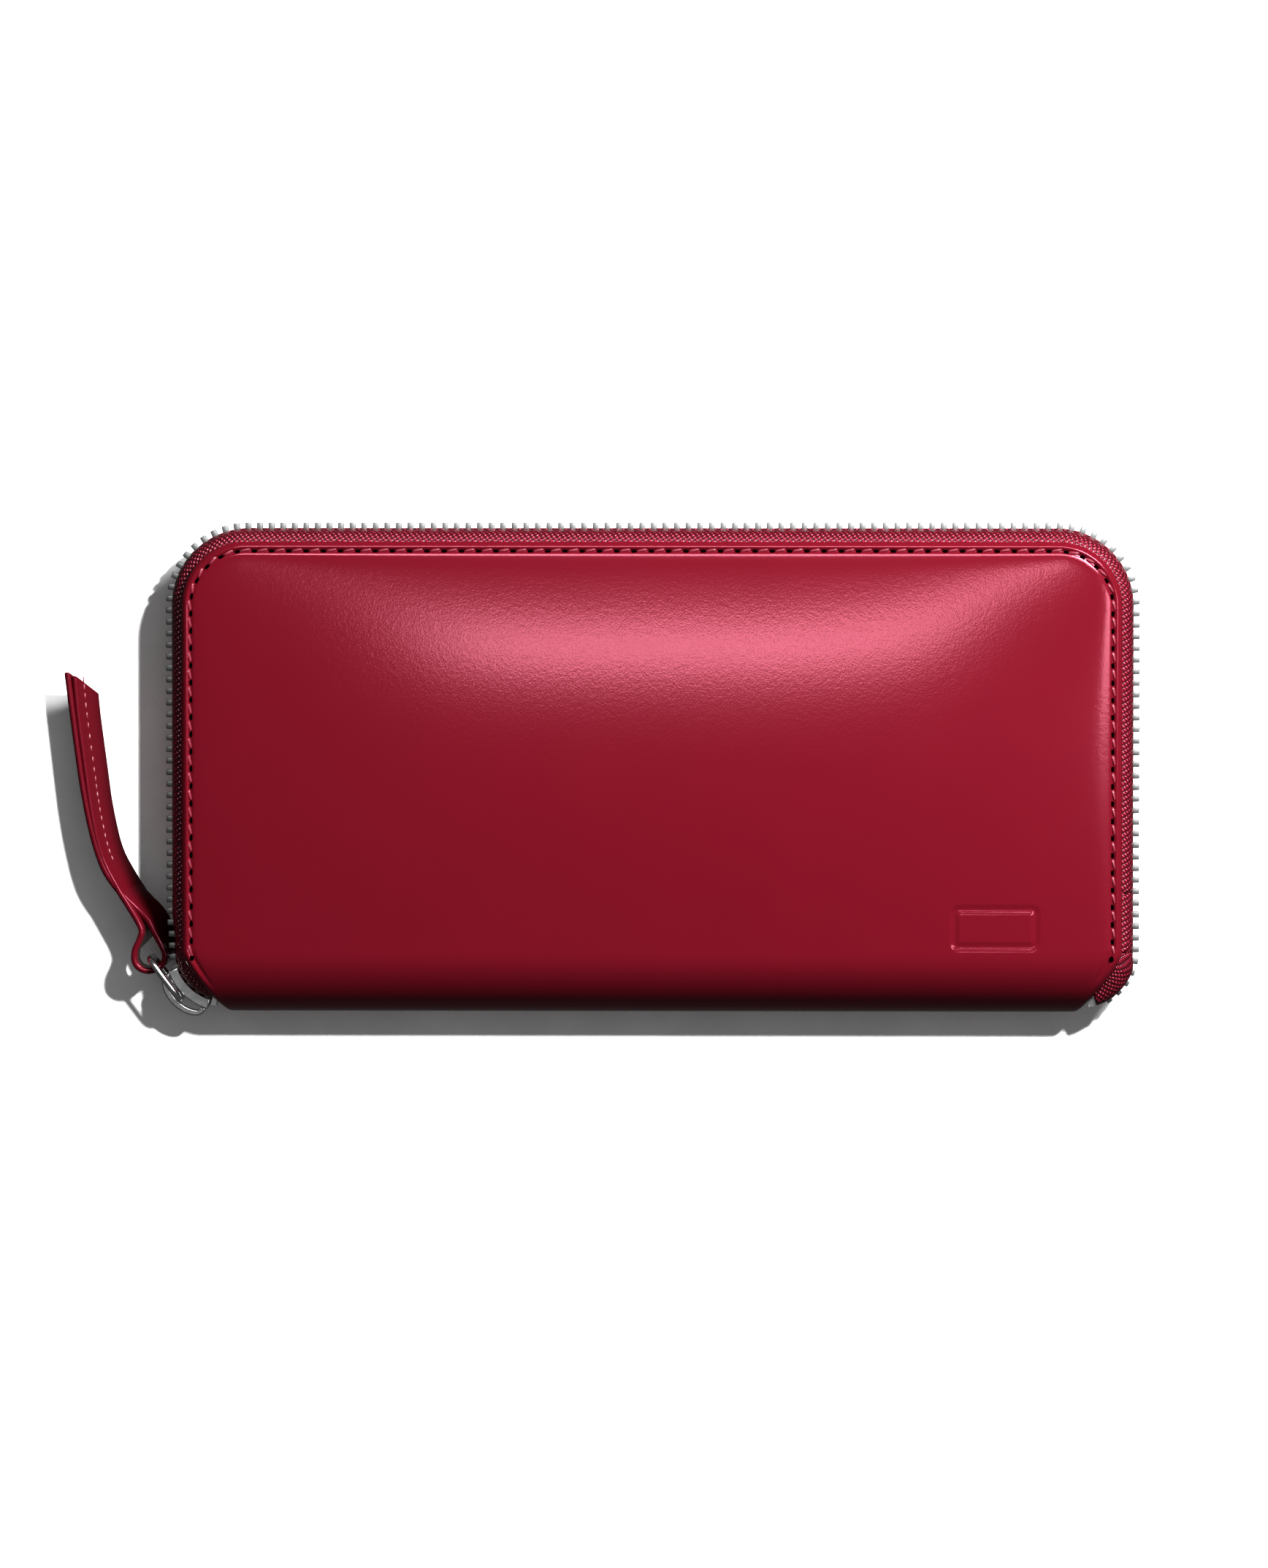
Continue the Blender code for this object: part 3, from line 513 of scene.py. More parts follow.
def cover_rise(x, y, settings, crown, bend=0.0):
    """How far the leather stands off its flat sheet: rolled edge, rim, groove and padding."""
    d = edge_distance(x, y)
    inset = settings.stitch_inset
    fade = smoothstep(*SEAM_FADE, y)
    rise = -EDGE_ROLL * (1.0 - min(max(d, 0.0) / EDGE_ROLL_WIDTH, 1.0)) ** 2
    rim = smoothstep(0.2 * MM, 1.0 * MM, d) * (1.0 - smoothstep(0.66 * inset, 0.95 * inset, d))
    groove = math.exp(-((d - inset) / GROOVE_WIDTH) ** 2)
    rise += fade * (RIM_RISE * rim - GROOVE_DEPTH * groove)
    puff = 1.0 - math.exp(-max(d - inset, 0.0) / PUFF_WIDTH)
    top = EDGE_Y - inset
    travel = top - y if bend == 0.0 else top - BEND_Y + bend
    share = min(max(travel / (top - BEND_Y + DOME_BELOW_BEND), 0.0), 1.0)
    dome = (1.0 - (1.0 - share) ** DOME_START) * (1.0 - share ** DOME_END) ** 2
    sides = 1.0 - min(abs(x) / (half_width(y) - inset), 1.0) ** DOME_SIDES
    rise += crown * dome * sides + PUFF_RISE * puff * fade * (1.0 if crown else 0.3)
    return rise


SPINE_ROWS = 44                # rows of the mesh round a quarter turn of the spine
CORNER_ROWS = 42
STAMP_ROWS = (-37.2 * MM, -26.0 * MM)  # Y places where the rows lie closer, for the stamp
STAMP_COLUMNS = (0.61, 0.83)   # the same along X, as shares of the half length
STAMP_COLUMN_STEP = 0.0036
EDGE_COLUMNS_FROM = 0.86       # share of the half length where the finer edge columns start


def spread(low, high, step):
    """Places from low to high, a step apart."""
    places, at = [low], low
    while at < high - 1e-9:
        at += step
        places.append(min(at, high))
    return places


def cover_columns():
    """Across the cover: fine by the edges and over the stamp."""
    edge = [1.0 - 0.30 * MM * step / HALF_LENGTH for step in range(12)]
    at = edge[-1]
    while at > EDGE_COLUMNS_FROM:
        at -= 0.55 * MM / HALF_LENGTH
        edge.append(at)
    inner = [share / 48 for share in range(int(EDGE_COLUMNS_FROM * 48) + 1)]
    positive = sorted(set(inner) | set(edge))
    first, last = STAMP_COLUMNS
    stamp = spread(first, last, STAMP_COLUMN_STEP)
    right = sorted({value for value in positive if not first < value < last} | set(stamp))
    return [-value for value in reversed(positive) if value > 0] + right


def cover_rows():
    """Along the cover from the seam at the spine: (angle or None, y)."""
    rows = [(math.pi / 2 * (1 - step / SPINE_ROWS), None) for step in range(SPINE_ROWS)]
    y = BEND_Y
    while y < CORNER_Y:
        rows.append((None, y))
        y += 0.42 * MM if STAMP_ROWS[0] < y < STAMP_ROWS[1] else 1.3 * MM
    for step in range(CORNER_ROWS + 1):
        rows.append((None, CORNER_Y + CORNER_RADIUS * math.sin(math.pi / 2 * step / CORNER_ROWS)))
    return rows


def build_cover(name, front):
    """One cover: the sheet curls from the spine seam to the flat panel."""
    settings = bpy.context.scene.wallet_leather
    columns, rows = cover_columns(), cover_rows()
    crown = settings.crown if front else 0.0
    bm = bmesh.new()
    bmesh.ops.create_grid(bm, x_segments=len(columns) - 1, y_segments=len(rows) - 1, size=1.0)
    for vert in bm.verts:
        column = round((vert.co.x + 1) / 2 * (len(columns) - 1))
        row = round((vert.co.y + 1) / 2 * (len(rows) - 1))
        angle, y = rows[row]
        if angle is None:
            normal, at = UP, Vector((0, y, THICKNESS))
        else:
            normal = Vector((0, -math.sin(angle), math.cos(angle)))
            at = Vector((0, BEND_Y, MID_Z)) + normal * SPINE_RADIUS
        x = columns[column] * half_width(at.y)
        rise = cover_rise(x, at.y, settings, crown, SPINE_RADIUS * (angle or 0.0))
        if front and angle is None:
            rise += stamp_depth(x, y)
        if not front:
            rise = min(rise, 0.0)
        at = at + normal * rise
        at.x = x
        vert.co = at if front else other_side(at)
    obj = finish_piece(name, bm, finish("cover_leather"), angle=60.0)
    up = sum(face.normal.z * face.area for face in obj.data.polygons)
    if (up < 0) == front:
        obj.data.flip_normals()
    wall(obj, settings.wall)
    return obj


class WALLET_OT_covers(bpy.types.Operator):
    """Front and back leather covers, each curling round the spine to the seam"""
    bl_idname = "wallet.covers"
    bl_label = "Leather covers"

    def execute(self, context):
        front = build_cover("front_leather", True)
        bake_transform(front)
        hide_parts("front_cover")
        back = build_cover("back_leather", False)
        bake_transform(back)
        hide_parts("back_cover")
        return {"FINISHED"}


# ---- stitches -----------------------------------------------------------
def outline_run(inset, bottom):
    """An inset outline from left to right: its length, and its place and outward normal at a length."""
    radius = CORNER_RADIUS - inset
    side = CORNER_Y - bottom
    arc = radius * math.pi / 2
    width = 2 * CORNER_X
    total = 2 * side + 2 * arc + width

    def at(length):
        if length > total / 2:
            point, out = at(total - length)
            return Vector((-point.x, point.y, 0)), Vector((-out.x, out.y, 0))
        if length < side:
            return Vector((-(HALF_LENGTH - inset), bottom + length, 0)), Vector((-1, 0, 0))
        if length < side + arc:
            angle = (length - side) / radius
            out = Vector((-math.cos(angle), math.sin(angle), 0))
            return Vector((-CORNER_X, CORNER_Y, 0)) + out * radius, out
        return Vector((-CORNER_X + length - side - arc, EDGE_Y - inset, 0)), Vector((0, 1, 0))

    return total, at


def add_capsule(bm, centre, along, up, length, radius, bend):
    """One stitch: a rounded thread lying in the groove, arched over its middle."""
    side = along.cross(up)
    sections = []
    for share, size in ((-0.5, 0.35), (-0.4, 0.85), (-0.15, 1.0), (0.15, 1.0), (0.4, 0.85), (0.5, 0.35)):
        lift = bend * (1 - 4 * share * share)
        middle = centre + along * length * share + up * lift
        sections.append([middle + (side * math.cos(k * math.pi / 3) + up * math.sin(k * math.pi / 3))
                         * radius * size for k in range(6)])
    sweep(bm, sections)


STITCH_BOTTOM = -38.0 * MM     # Y place where the sewn line starts and ends
STITCH_RADIUS = 0.27 * MM
STITCH_SHARE = 0.60            # of the pitch, the length of thread that shows
STITCH_SLANT = 0.24
HOLE_LOW, HOLE_HIGH = 0.58 * MM, 0.46 * MM    # radii of the black disc of painted shade at a needle hole
HOLE_DEPTH = 0.22 * MM


def build_stitches(front):
    """Thread round one cover, and black discs of painted shade at its needle holes."""
    settings = bpy.context.scene.wallet_leather
    total, at = outline_run(settings.stitch_inset, STITCH_BOTTOM)
    count = round(total / settings.stitch_pitch)
    threads, hole_shade_discs = bmesh.new(), bmesh.new()
    crown = settings.crown if front else 0.0
    for index in range(count + 1):
        place, out = at(total * index / count)
        tangent = Vector((out.y, -out.x, 0))
        hole_at = place - out * 0.22 * MM
        lift = cover_rise(hole_at.x, hole_at.y, settings, crown)
        hole_at.z = THICKNESS + (lift if front else min(lift, 0.0)) + 0.03 * MM
        turn = Matrix((tangent, out, UP)).transposed().to_4x4()
        turn.translation = hole_at
        # a near-black cone standing just proud of the leather: painted shade for the needle hole
        bmesh.ops.create_cone(hole_shade_discs, cap_ends=True, segments=12, radius1=HOLE_LOW, radius2=HOLE_HIGH,
                              depth=HOLE_DEPTH, matrix=turn @ Matrix.Diagonal((1.1, 0.85, 1.0, 1.0)))
        if index < count:
            middle, middle_out = at(total * (index + 0.5) / count)
            along = Vector((middle_out.y, -middle_out.x, 0))
            lift = cover_rise(middle.x, middle.y, settings, crown)
            height = THICKNESS + (lift if front else min(lift, 0.0))
            slant = (along + middle_out * STITCH_SLANT).normalized()
            centre = Vector((middle.x, middle.y, height + 0.10 * MM)) + middle_out * 0.16 * MM
            add_capsule(threads, centre, slant, UP, settings.stitch_pitch * STITCH_SHARE,
                        STITCH_RADIUS, 0.12 * MM)
    for kind, bm, look in (("stitches", threads, "thread"), ("stitch_hole_shade", hole_shade_discs, "painted_hole_shade")):
        if not front:
            for vert in bm.verts:
                vert.co = other_side(vert.co)
        piece = finish_piece(f"{'front' if front else 'back'}_{kind}", bm, finish(look))
        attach(piece, "front" if front else "back")


class WALLET_OT_stitches(bpy.types.Operator):
    """Sewn line in the groove round both covers"""
    bl_idname = "wallet.stitches"
    bl_label = "Stitches"

    def execute(self, context):
        build_stitches(True)
        build_stitches(False)
        return {"FINISHED"}


# ---- zip chain ----------------------------------------------------------
TURN_END = 72.0                # degrees round each spine turn
TOOTH_LINE = 2.75 * MM         # middle of the front teeth, out from the leather edge
BACK_TOOTH_LINE = 1.45 * MM
PINCHED_LINE = 2.3 * MM        # the furthest that teeth stand out inside the slider
TOOTH_DEPTH, TOOTH_HEIGHT = 1.95 * MM, 3.3 * MM
FIRST_TOOTH = 0.9 * MM         # from the chain's end to the middle of the first tooth
TAPE_WALL = 0.45 * MM
CORD_RADIUS = 0.52 * MM

# Across the front tape: reach past the leather edge in mm, share of the way down to the teeth.
TAPE_BENDS = ((-0.5, 0.01), (0.4, 0.04), (1.05, 0.085), (1.6, 0.15), (1.98, 0.25), (2.2, 0.40),
              (2.3, 0.60), (2.32, 0.80), (2.3, 0.93), (2.2, 1.0))


def chain_run():
    """The teeth line from the left turn to the right: total length and a lookup."""
    turn_radius = TURN_RADIUS + TOOTH_LINE
    corner_radius = CORNER_RADIUS + TOOTH_LINE
    turn_length = turn_radius * math.radians(TURN_END)
    side = CORNER_Y - BEND_Y
    corner = corner_radius * math.pi / 2
    total = 2 * (turn_length + side + corner) + 2 * CORNER_X

    def at(length):
        """(place on the leather edge line, outward normal, turn degrees or 0)."""
        if length > total / 2:
            place, out, turned = at(total - length)
            return Vector((-place.x, place.y, 0)), Vector((-out.x, out.y, 0)), turned
        if length < turn_length:
            angle = (turn_length - length) / turn_radius
            out = Vector((-math.cos(angle), -math.sin(angle), 0))
            return Vector((-TURN_X, BEND_Y, 0)) + out * TURN_RADIUS, out, math.degrees(angle)
        length -= turn_length
        if length < side:
            return Vector((-HALF_LENGTH, BEND_Y + length, 0)), Vector((-1, 0, 0)), 0.0
        length -= side
        if length < corner:
            angle = length / corner_radius
            out = Vector((-math.cos(angle), math.sin(angle), 0))
            return Vector((-CORNER_X, CORNER_Y, 0)) + out * CORNER_RADIUS, out, 0.0
        return Vector((-CORNER_X + length - corner, EDGE_Y, 0)), Vector((0, 1, 0)), 0.0

    return total, at, turn_length


CHAIN_LENGTH, CHAIN_AT, CHAIN_TURN = chain_run()


def spread_share(length):
    """1 where the slider's wedge holds the rows apart, 0 where they mesh."""
    return 1.0 - smoothstep(CHAIN_TURN - 4.4 * MM, CHAIN_TURN - 0.6 * MM, length)


def pinch_share(length):
    """1 where the tape is drawn in to pass between the slider's plates."""
    return 1.0 - smoothstep(CHAIN_TURN + 2.0 * MM, CHAIN_TURN + 8.0 * MM, length)


# Where the front half of the chain passes from body to body, along its length.
LEFT_SPLIT = CHAIN_TURN + 1.4 * MM
LEFT_MIDDLE = CHAIN_TURN + 11.0 * MM
MAIN_START = CHAIN_TURN + 22.0 * MM
MAIN_END = CHAIN_LENGTH - CHAIN_TURN - 12.0 * MM
RIGHT_TURN = CHAIN_LENGTH - CHAIN_TURN
CHAIN_PARTS = [
    ("left_end", 0.0, LEFT_SPLIT, ("back",)),
    ("left_lower", LEFT_SPLIT, LEFT_MIDDLE, ("back", "coin_pocket")),
    ("left_upper", LEFT_MIDDLE, MAIN_START, ("coin_pocket", "front")),
    ("main", MAIN_START, MAIN_END, ("front",)),
    ("right_upper", MAIN_END, RIGHT_TURN, ("coin_pocket", "front")),
    ("right_end", RIGHT_TURN, CHAIN_LENGTH, ("back", "coin_pocket")),
]
CHAIN_NODES = {"main": "{kind}_front", "left_end": "{kind}_front_left_end",
               "right_end": "{kind}_front_right_end"}


def tape_section(length):
    """Across the front tape, from under the leather out and down to the teeth."""
    place, out, turned = CHAIN_AT(length)
    share = turned / TURN_END
    drop = 0.0
    if place.y < BEND_Y:
        drop = SPINE_RADIUS - math.sqrt(SPINE_RADIUS ** 2 - (BEND_Y - place.y) ** 2)
    under = THICKNESS - 1.35 * MM - drop * 0.9
    low = MID_Z + 2.3 * MM
    tuck = -5.5 * MM * (1 - smoothstep(0.0, 0.35, share)) - 2.2 * MM * smoothstep(0.0, 0.35, share)
    shape = [(tuck, 0.0), (tuck * 0.45, 0.0)] + [(reach * MM, fall) for reach, fall in TAPE_BENDS]
    pinch = pinch_share(length) if place.x < 0 else -smoothstep(0.0, 0.3, share)
    points = []
    for reach, fall in shape:
        narrow = reach - pinch * max(reach, 0.0) * 0.32
        z = under + (low - under) * fall
        points.append(place + out * narrow + UP * z)
    return points


def lengths_between(start, end, step):
    count = max(round((end - start) / step), 2)
    return [start + (end - start) * index / count for index in range(count + 1)]


def build_tape(name, start, end, front):
    sections = [tape_section(length) for length in lengths_between(start, end, 0.9 * MM)]
    if not front:
        sections = [[other_side(point) for point in section] for section in sections]
    bm = sweep(bmesh.new(), sections, closed_section=False)
    section_uv(bm, sections)
    obj = finish_piece(name, bm, finish("tape"), angle=70.0)
    middle = obj.data.polygons[len(obj.data.polygons) // 2]
    away = middle.center - Vector((0, 0, MID_Z))
    if middle.normal.dot(away) < 0:
        obj.data.flip_normals()
    wall(obj, TAPE_WALL)
    return obj


def tooth_shape():
    """One tooth round the origin: X along the chain, Y outward, Z away from the other row."""
    settings = bpy.context.scene.wallet_zip
    bm = bmesh.new()
    matrix = Matrix.Diagonal((settings.tooth, TOOTH_DEPTH, TOOTH_HEIGHT, 1.0))
    bmesh.ops.create_cube(bm, size=1.0, matrix=matrix)
    for vert in bm.verts:
        if vert.co.z < 0:
            vert.co.x *= 0.82
            vert.co.y -= 0.12 * MM if vert.co.y > 0 else -0.1 * MM
        if vert.co.y > 0:
            vert.co.x *= 0.92
    bmesh.ops.bevel(bm, geom=bm.edges[:], offset=0.12 * MM, segments=2, profile=0.5,
                    affect="EDGES", material=-1)
    mesh = bpy.data.meshes.new("tooth_shape")
    bm.to_mesh(mesh)
    bm.free()
    return mesh


def build_teeth(name, start, end, front, shape, phase):
    """The teeth of one row whose middles fall between start and end."""
    pitch = bpy.context.scene.wallet_zip.pitch
    count = int(CHAIN_LENGTH / pitch)
    bm = bmesh.new()
    for index in range(count):
        length = (index + phase) * pitch + FIRST_TOOTH
        if not start <= length < end:
            continue
        place, out, _ = CHAIN_AT(length)
        along = Vector((out.y, -out.x, 0))
        spread_here = spread_share(length)
        z = MID_Z + (0.95 + 0.98 * spread_here) * MM
        if not front:
            z = THICKNESS - z
        up = UP if front else -UP
        line = TOOTH_LINE if front else BACK_TOOTH_LINE
        line += (min(line, PINCHED_LINE) - line) * pinch_share(length)
        pose = Matrix((along, out, up * (1.0 - 0.36 * spread_here))).transposed().to_4x4()
        pose.translation = place + out * line + UP * z
        first = len(bm.verts)
        bm.from_mesh(shape)
        bm.verts.ensure_lookup_table()
        bmesh.ops.transform(bm, matrix=pose, verts=bm.verts[first:])
    return finish_piece(name, bm, finish("teeth"), angle=50.0)


def build_cord(name, start, end, front):
    """The thick woven edge of the tape that the teeth are clamped on."""
    sections = []
    for length in lengths_between(start, end, 0.8 * MM):
        place, out, _ = CHAIN_AT(length)
        z = MID_Z + 2.4 * MM
        centre = place + out * (2.0 - 0.4 * pinch_share(length)) * MM + UP * z
        turns = [math.pi / 4 * side for side in range(8)]
        sections.append([centre + (out * math.cos(turn) + UP * math.sin(turn)) * CORD_RADIUS
                         for turn in turns])
    if not front:
        sections = [[other_side(point) for point in section] for section in sections]
    bm = sweep(bmesh.new(), sections)
    section_uv(bm, sections)
    return finish_piece(name, bm, finish("tape"), angle=60.0)


def join_bodies(piece, bodies, start, end):
    """Rides a chain piece on one body; a piece between two bodies is only baked in place."""
    if len(bodies) == 1:
        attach(piece, bodies[0])
        return
    if start > CHAIN_LENGTH / 2:
        start, end = end, start
    first, last = CHAIN_AT(start)[0], CHAIN_AT(end)[0]
    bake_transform(piece)


class WALLET_OT_chain(bpy.types.Operator):
    """Zip tapes, their corded edges and every tooth, on both halves"""
    bl_idname = "wallet.chain"
    bl_label = "Zip chain"

    def execute(self, context):
        shape = tooth_shape()
        for part, start, end, bodies in CHAIN_PARTS:
            makers = (("zip_tape", lambda n: build_tape(n, start, end, True)),
                      ("zip_cord", lambda n: build_cord(n, start, end, True)),
                      ("zip_teeth", lambda n: build_teeth(n, start, end, True, shape, 0.0)))
            for kind, maker in makers:
                piece = maker(f"front_{kind}_{part}")
                join_bodies(piece, bodies, start, end)
                if part in CHAIN_NODES and kind != "zip_cord":
                    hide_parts(CHAIN_NODES[part].format(kind=kind))
        back = (("zip_tape", build_tape("back_zip_tape", 0.0, CHAIN_LENGTH, False)),
                ("zip_cord", build_cord("back_zip_cord", 0.0, CHAIN_LENGTH, False)),
                ("zip_teeth", build_teeth("back_zip_teeth", 0.0, CHAIN_LENGTH, False, shape, 0.5)))
        for kind, piece in back:
            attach(piece, "back")
            if kind != "zip_cord":
                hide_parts(f"{kind}_back", f"{kind}_back_left_end", f"{kind}_back_right_end")
        bpy.data.meshes.remove(shape)
        return {"FINISHED"}


# ---- slider, ring and strap ---------------------------------------------
# Radii are from the middle of the left turn, and the slider's stretches are in degrees round it.
SLIDER_TURN = (20.0, 72.0)
SLIDER_HALF = 4.2 * MM         # half its width, front to back
OUTER_PLATE = (11.9 * MM, 12.6 * MM)
INNER_PLATE = (8.0 * MM, 8.7 * MM)
FLANGE = 1.0 * MM
LIP_DEPTH = 1.4 * MM
WEDGE = (8.4 * MM, 12.2 * MM)
WEDGE_TURN = (50.0, 68.0)
WEDGE_HALF = 0.6 * MM
BAIL_BASE = 12.75 * MM
BAIL_RISE = 3.1 * MM
BAIL_ROOM = 1.75 * MM          # height of the opening under it
BAIL_HALF = 0.95 * MM
BAIL_HALF_ARC = 24.0
BAIL_FOOT = 4.5
RING_WIRE = 0.68 * MM          # radius of the ring's wire
RING_CORNER = 2.4 * MM
RING_CORNER_STEPS = 6


def on_turn(radius, degrees, z):
    angle = math.radians(degrees)
    return Vector((-TURN_X - radius * math.cos(angle), BEND_Y - radius * math.sin(angle), z))


def arc_sections(profile, first, last, steps):
    """A profile of (radius, height above the middle) carried round the turn."""
    stops = [first + (last - first) * step / steps for step in range(steps + 1)]
    return [[on_turn(radius, degrees, MID_Z + rise) for radius, rise in profile] for degrees in stops]


class WALLET_OT_slider(bpy.types.Operator):
    """Slider plates, wedge and half-moon bail, with the pull ring"""
    bl_idname = "wallet.slider"
    bl_label = "Slider and ring"

    def execute(self, context):
        metal = finish("slider_metal")
        half, room = SLIDER_HALF, SLIDER_HALF - FLANGE
        lip = OUTER_PLATE[0] - LIP_DEPTH
        back, face = OUTER_PLATE
        outer = [(lip, half), (face, half), (face, -half), (lip, -half),
                 (lip, -room), (back, -room), (back, room), (lip, room)]
        bm = sweep(bmesh.new(), arc_sections(outer, *SLIDER_TURN, 16))
        for (low, high), tall, (first, last), steps in ((INNER_PLATE, half, SLIDER_TURN, 16),
                                                        (WEDGE, WEDGE_HALF, WEDGE_TURN, 6)):
            profile = [(low, -tall), (low, tall), (high, tall), (high, -tall)]
            sweep(bm, arc_sections(profile, first, last, steps))
        body = finish_piece("slider_shell", bm, metal)
        round_edges(body, 0.22 * MM, 3)
        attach(body, "slider")
        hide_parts("slider_body")

        middle = sum(SLIDER_TURN) / 2
        steps = 20
        sections = []
        for step in range(steps + 1):
            swing = -math.cos(math.pi * step / steps)
            rise = max(math.sin(math.pi * step / steps), 0.0) ** 0.7
            top = (BAIL_BASE + BAIL_RISE * rise, middle + BAIL_HALF_ARC * swing)
            low = (BAIL_BASE + BAIL_ROOM * rise, middle + (BAIL_HALF_ARC - BAIL_FOOT) * swing)
            sections.append([on_turn(*top, MID_Z - BAIL_HALF), on_turn(*top, MID_Z + BAIL_HALF),
                             on_turn(*low, MID_Z + BAIL_HALF), on_turn(*low, MID_Z - BAIL_HALF)])
        bail = finish_piece("slider_crown", sweep(bmesh.new(), sections), metal)
        round_edges(bail, 0.28 * MM, 3)
        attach(bail, "slider")
        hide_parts("slider_bail")

        ring_low, ring_high = (Vector(corner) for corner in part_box("pull_ring"))
        high = (ring_high.z - ring_low.z) / 2 - RING_WIRE - RING_CORNER
        aim = (STRAP_PIVOT - RING_PIVOT).normalized()
        far = (STRAP_PIVOT - RING_PIVOT).length - RING_CORNER
        across = UP.cross(aim)
        turns = [math.pi / 8 * side for side in range(16)]
        sections = []
        for quarter, (along, rise) in enumerate(((far, high), (RING_CORNER, high),
                                                 (RING_CORNER, -high), (far, -high))):
            for step in range(RING_CORNER_STEPS + 1):
                angle = math.pi / 2 * (quarter + step / RING_CORNER_STEPS)
                out = aim * math.cos(angle) + UP * math.sin(angle)
                centre = RING_PIVOT + aim * along + UP * rise + out * RING_CORNER
                sections.append([centre + (out * math.cos(turn) + across * math.sin(turn)) * RING_WIRE
                                 for turn in turns])
        bm = sweep(bmesh.new(), sections, closed_loop=True)
        ring = finish_piece("pull_loop", bm, metal, angle=60.0)
        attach(ring, "pull_ring")
        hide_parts("pull_ring")
        return {"FINISHED"}


# The strap's two leaves, as offsets in millimetres from the ring's far bar:
# (x, y, height of the middle, lean in degrees, half width).
STRAP_PATH = [
    (-13.9, 57.6, -4.0, 22, 5.0), (-13.1, 49.3, -3.7, 22, 5.0), (-11.6, 38.2, -3.1, 22, 5.0),
    (-10.4, 30.0, -2.6, 22, 5.0), (-8.4, 21.5, -1.9, 23, 5.0), (-5.4, 15.6, -1.2, 24, 5.0),
    (-2.9, 11.6, -0.7, 24, 5.0), (-1.2, 8.2, -0.3, 20, 4.9), (-0.9, 5.6, 0.0, 12, 4.8),
    (-1.9, 3.6, 0.0, 5, 4.8), (-3.1, 1.7, 0.0, 0, 4.8), (-3.1, -0.7, 0.0, 0, 4.8),
    (-1.6, -2.2, 0.0, 0, 4.8), (0.6, -2.3, 0.0, 0, 4.8), (2.6, -1.0, 0.0, 0, 4.8),
    (3.4, 1.1, 0.0, 6, 4.8), (3.1, 3.6, 0.0, 16, 4.8), (2.1, 6.2, 0.0, 22, 4.6),
    (0.6, 8.8, -0.1, 24, 4.2), (-2.0, 11.4, -0.5, 24, 4.2), (-5.4, 15.0, -1.1, 22, 4.8),
    (-8.2, 19.2, -1.7, 21, 5.0), (-10.3, 25.6, -2.3, 21, 5.0), (-12.0, 34.0, -2.8, 22, 5.0),
    (-13.5, 44.0, -3.4, 22, 5.0), (-15.4, 58.4, -4.0, 22, 5.0),
]


def smooth_route(points, per_span=5):
    """Catmull-Rom samples through rows of numbers."""
    samples = []
    last = len(points) - 1
    for index in range(last):
        p0, p1 = points[max(index - 1, 0)], points[index]
        p2, p3 = points[index + 1], points[min(index + 2, last)]
        for step in range(per_span):
            t = step / per_span
            samples.append(tuple(
                0.5 * (2 * b + (c - a) * t + (2 * a - 5 * b + 4 * c - d) * t * t
                       + (3 * b - a - 3 * c + d) * t ** 3)
                for a, b, c, d in zip(p0, p1, p2, p3)))
    samples.append(tuple(float(value) for value in points[-1]))
    return samples


STRAP_WALL = 1.25 * MM
STRAP_EDGE = 0.06              # rounding of the strap's long edges, as a share of its half width
TIP_LENGTH = 14.0 * MM         # stretch over which the tips slant, and how far
TIP_SLANT = 4.4 * MM
STRAP_STITCHES = 21
STRAP_LEAN = math.radians(22)  # at the sewn stretch


def strap_sections(route, thickness):
    """The strap's outline, leaning with its route."""
    places = [STRAP_PIVOT + Vector((x, y, z)) * MM for x, y, z, _, _ in route]
    sections = []
    for index, (_, _, _, lean, half) in enumerate(route):
        before, after = places[max(index - 1, 0)], places[min(index + 1, len(places) - 1)]
        heading = after - before
        heading.z = 0.0
        heading.normalize()
        side = Vector((heading.y, -heading.x, 0))
        left = -side if side.x > 0 else side
        tilt = math.radians(lean)
        tall = UP * math.cos(tilt) + left * math.sin(tilt)
        thin = heading.cross(tall).normalized()
        half_tall, half_thin = half * MM, thickness / 2
        flat, low = 1 - STRAP_EDGE, 0.35
        ring = [(-1, -low), (-flat, -1), (flat, -1), (1, -low), (1, low), (flat, 1), (-flat, 1), (-1, low)]
        # the tips are cut on a slant, the lower edge shorter
        tip = places[0] if index < len(route) / 2 else places[-1]
        slant = max(1.0 - (places[index] - tip).length / TIP_LENGTH, 0.0) * TIP_SLANT
        back = heading if index < len(route) / 2 else -heading
        sections.append([places[index] + tall * half_tall * a + thin * half_thin * b
                         + back * slant * (1 - a) / 2 for a, b in ring])
    return sections


class WALLET_OT_strap(bpy.types.Operator):
    """Leather pull strap, folded through the ring and lying doubled"""
    bl_idname = "wallet.strap"
    bl_label = "Pull strap"

    def execute(self, context):
        route = smooth_route(STRAP_PATH)
        bm = sweep(bmesh.new(), strap_sections(route, STRAP_WALL))
        strap = finish_piece("leather_pull", bm, finish("strap_leather"), angle=50.0)
        round_edges(strap, 0.2 * MM, 2, 50.0)
        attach(strap, "pull_strap")
        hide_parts("pull_strap")

        bm = bmesh.new()
        places = [STRAP_PIVOT + Vector((x, y, z)) * MM for x, y, z, _, _ in route]
        tall = UP * math.cos(STRAP_LEAN) - Vector((1, 0, 0)) * math.sin(STRAP_LEAN)
        for index in range(1, STRAP_STITCHES + 1):
            along = (places[index + 1] - places[index - 1]).normalized()
            face = tall.cross(along).normalized()
            face = face if face.x > 0 else -face
            centre = places[index] + tall * 1.9 * MM + face * 0.68 * MM
            add_capsule(bm, centre, (along + tall * 0.15).normalized(), face, 1.25 * MM, 0.16 * MM, 0.03 * MM)
        thread = finish_piece("strap_stitches", bm, finish("thread"))
        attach(thread, "pull_strap")
        return {"FINISHED"}


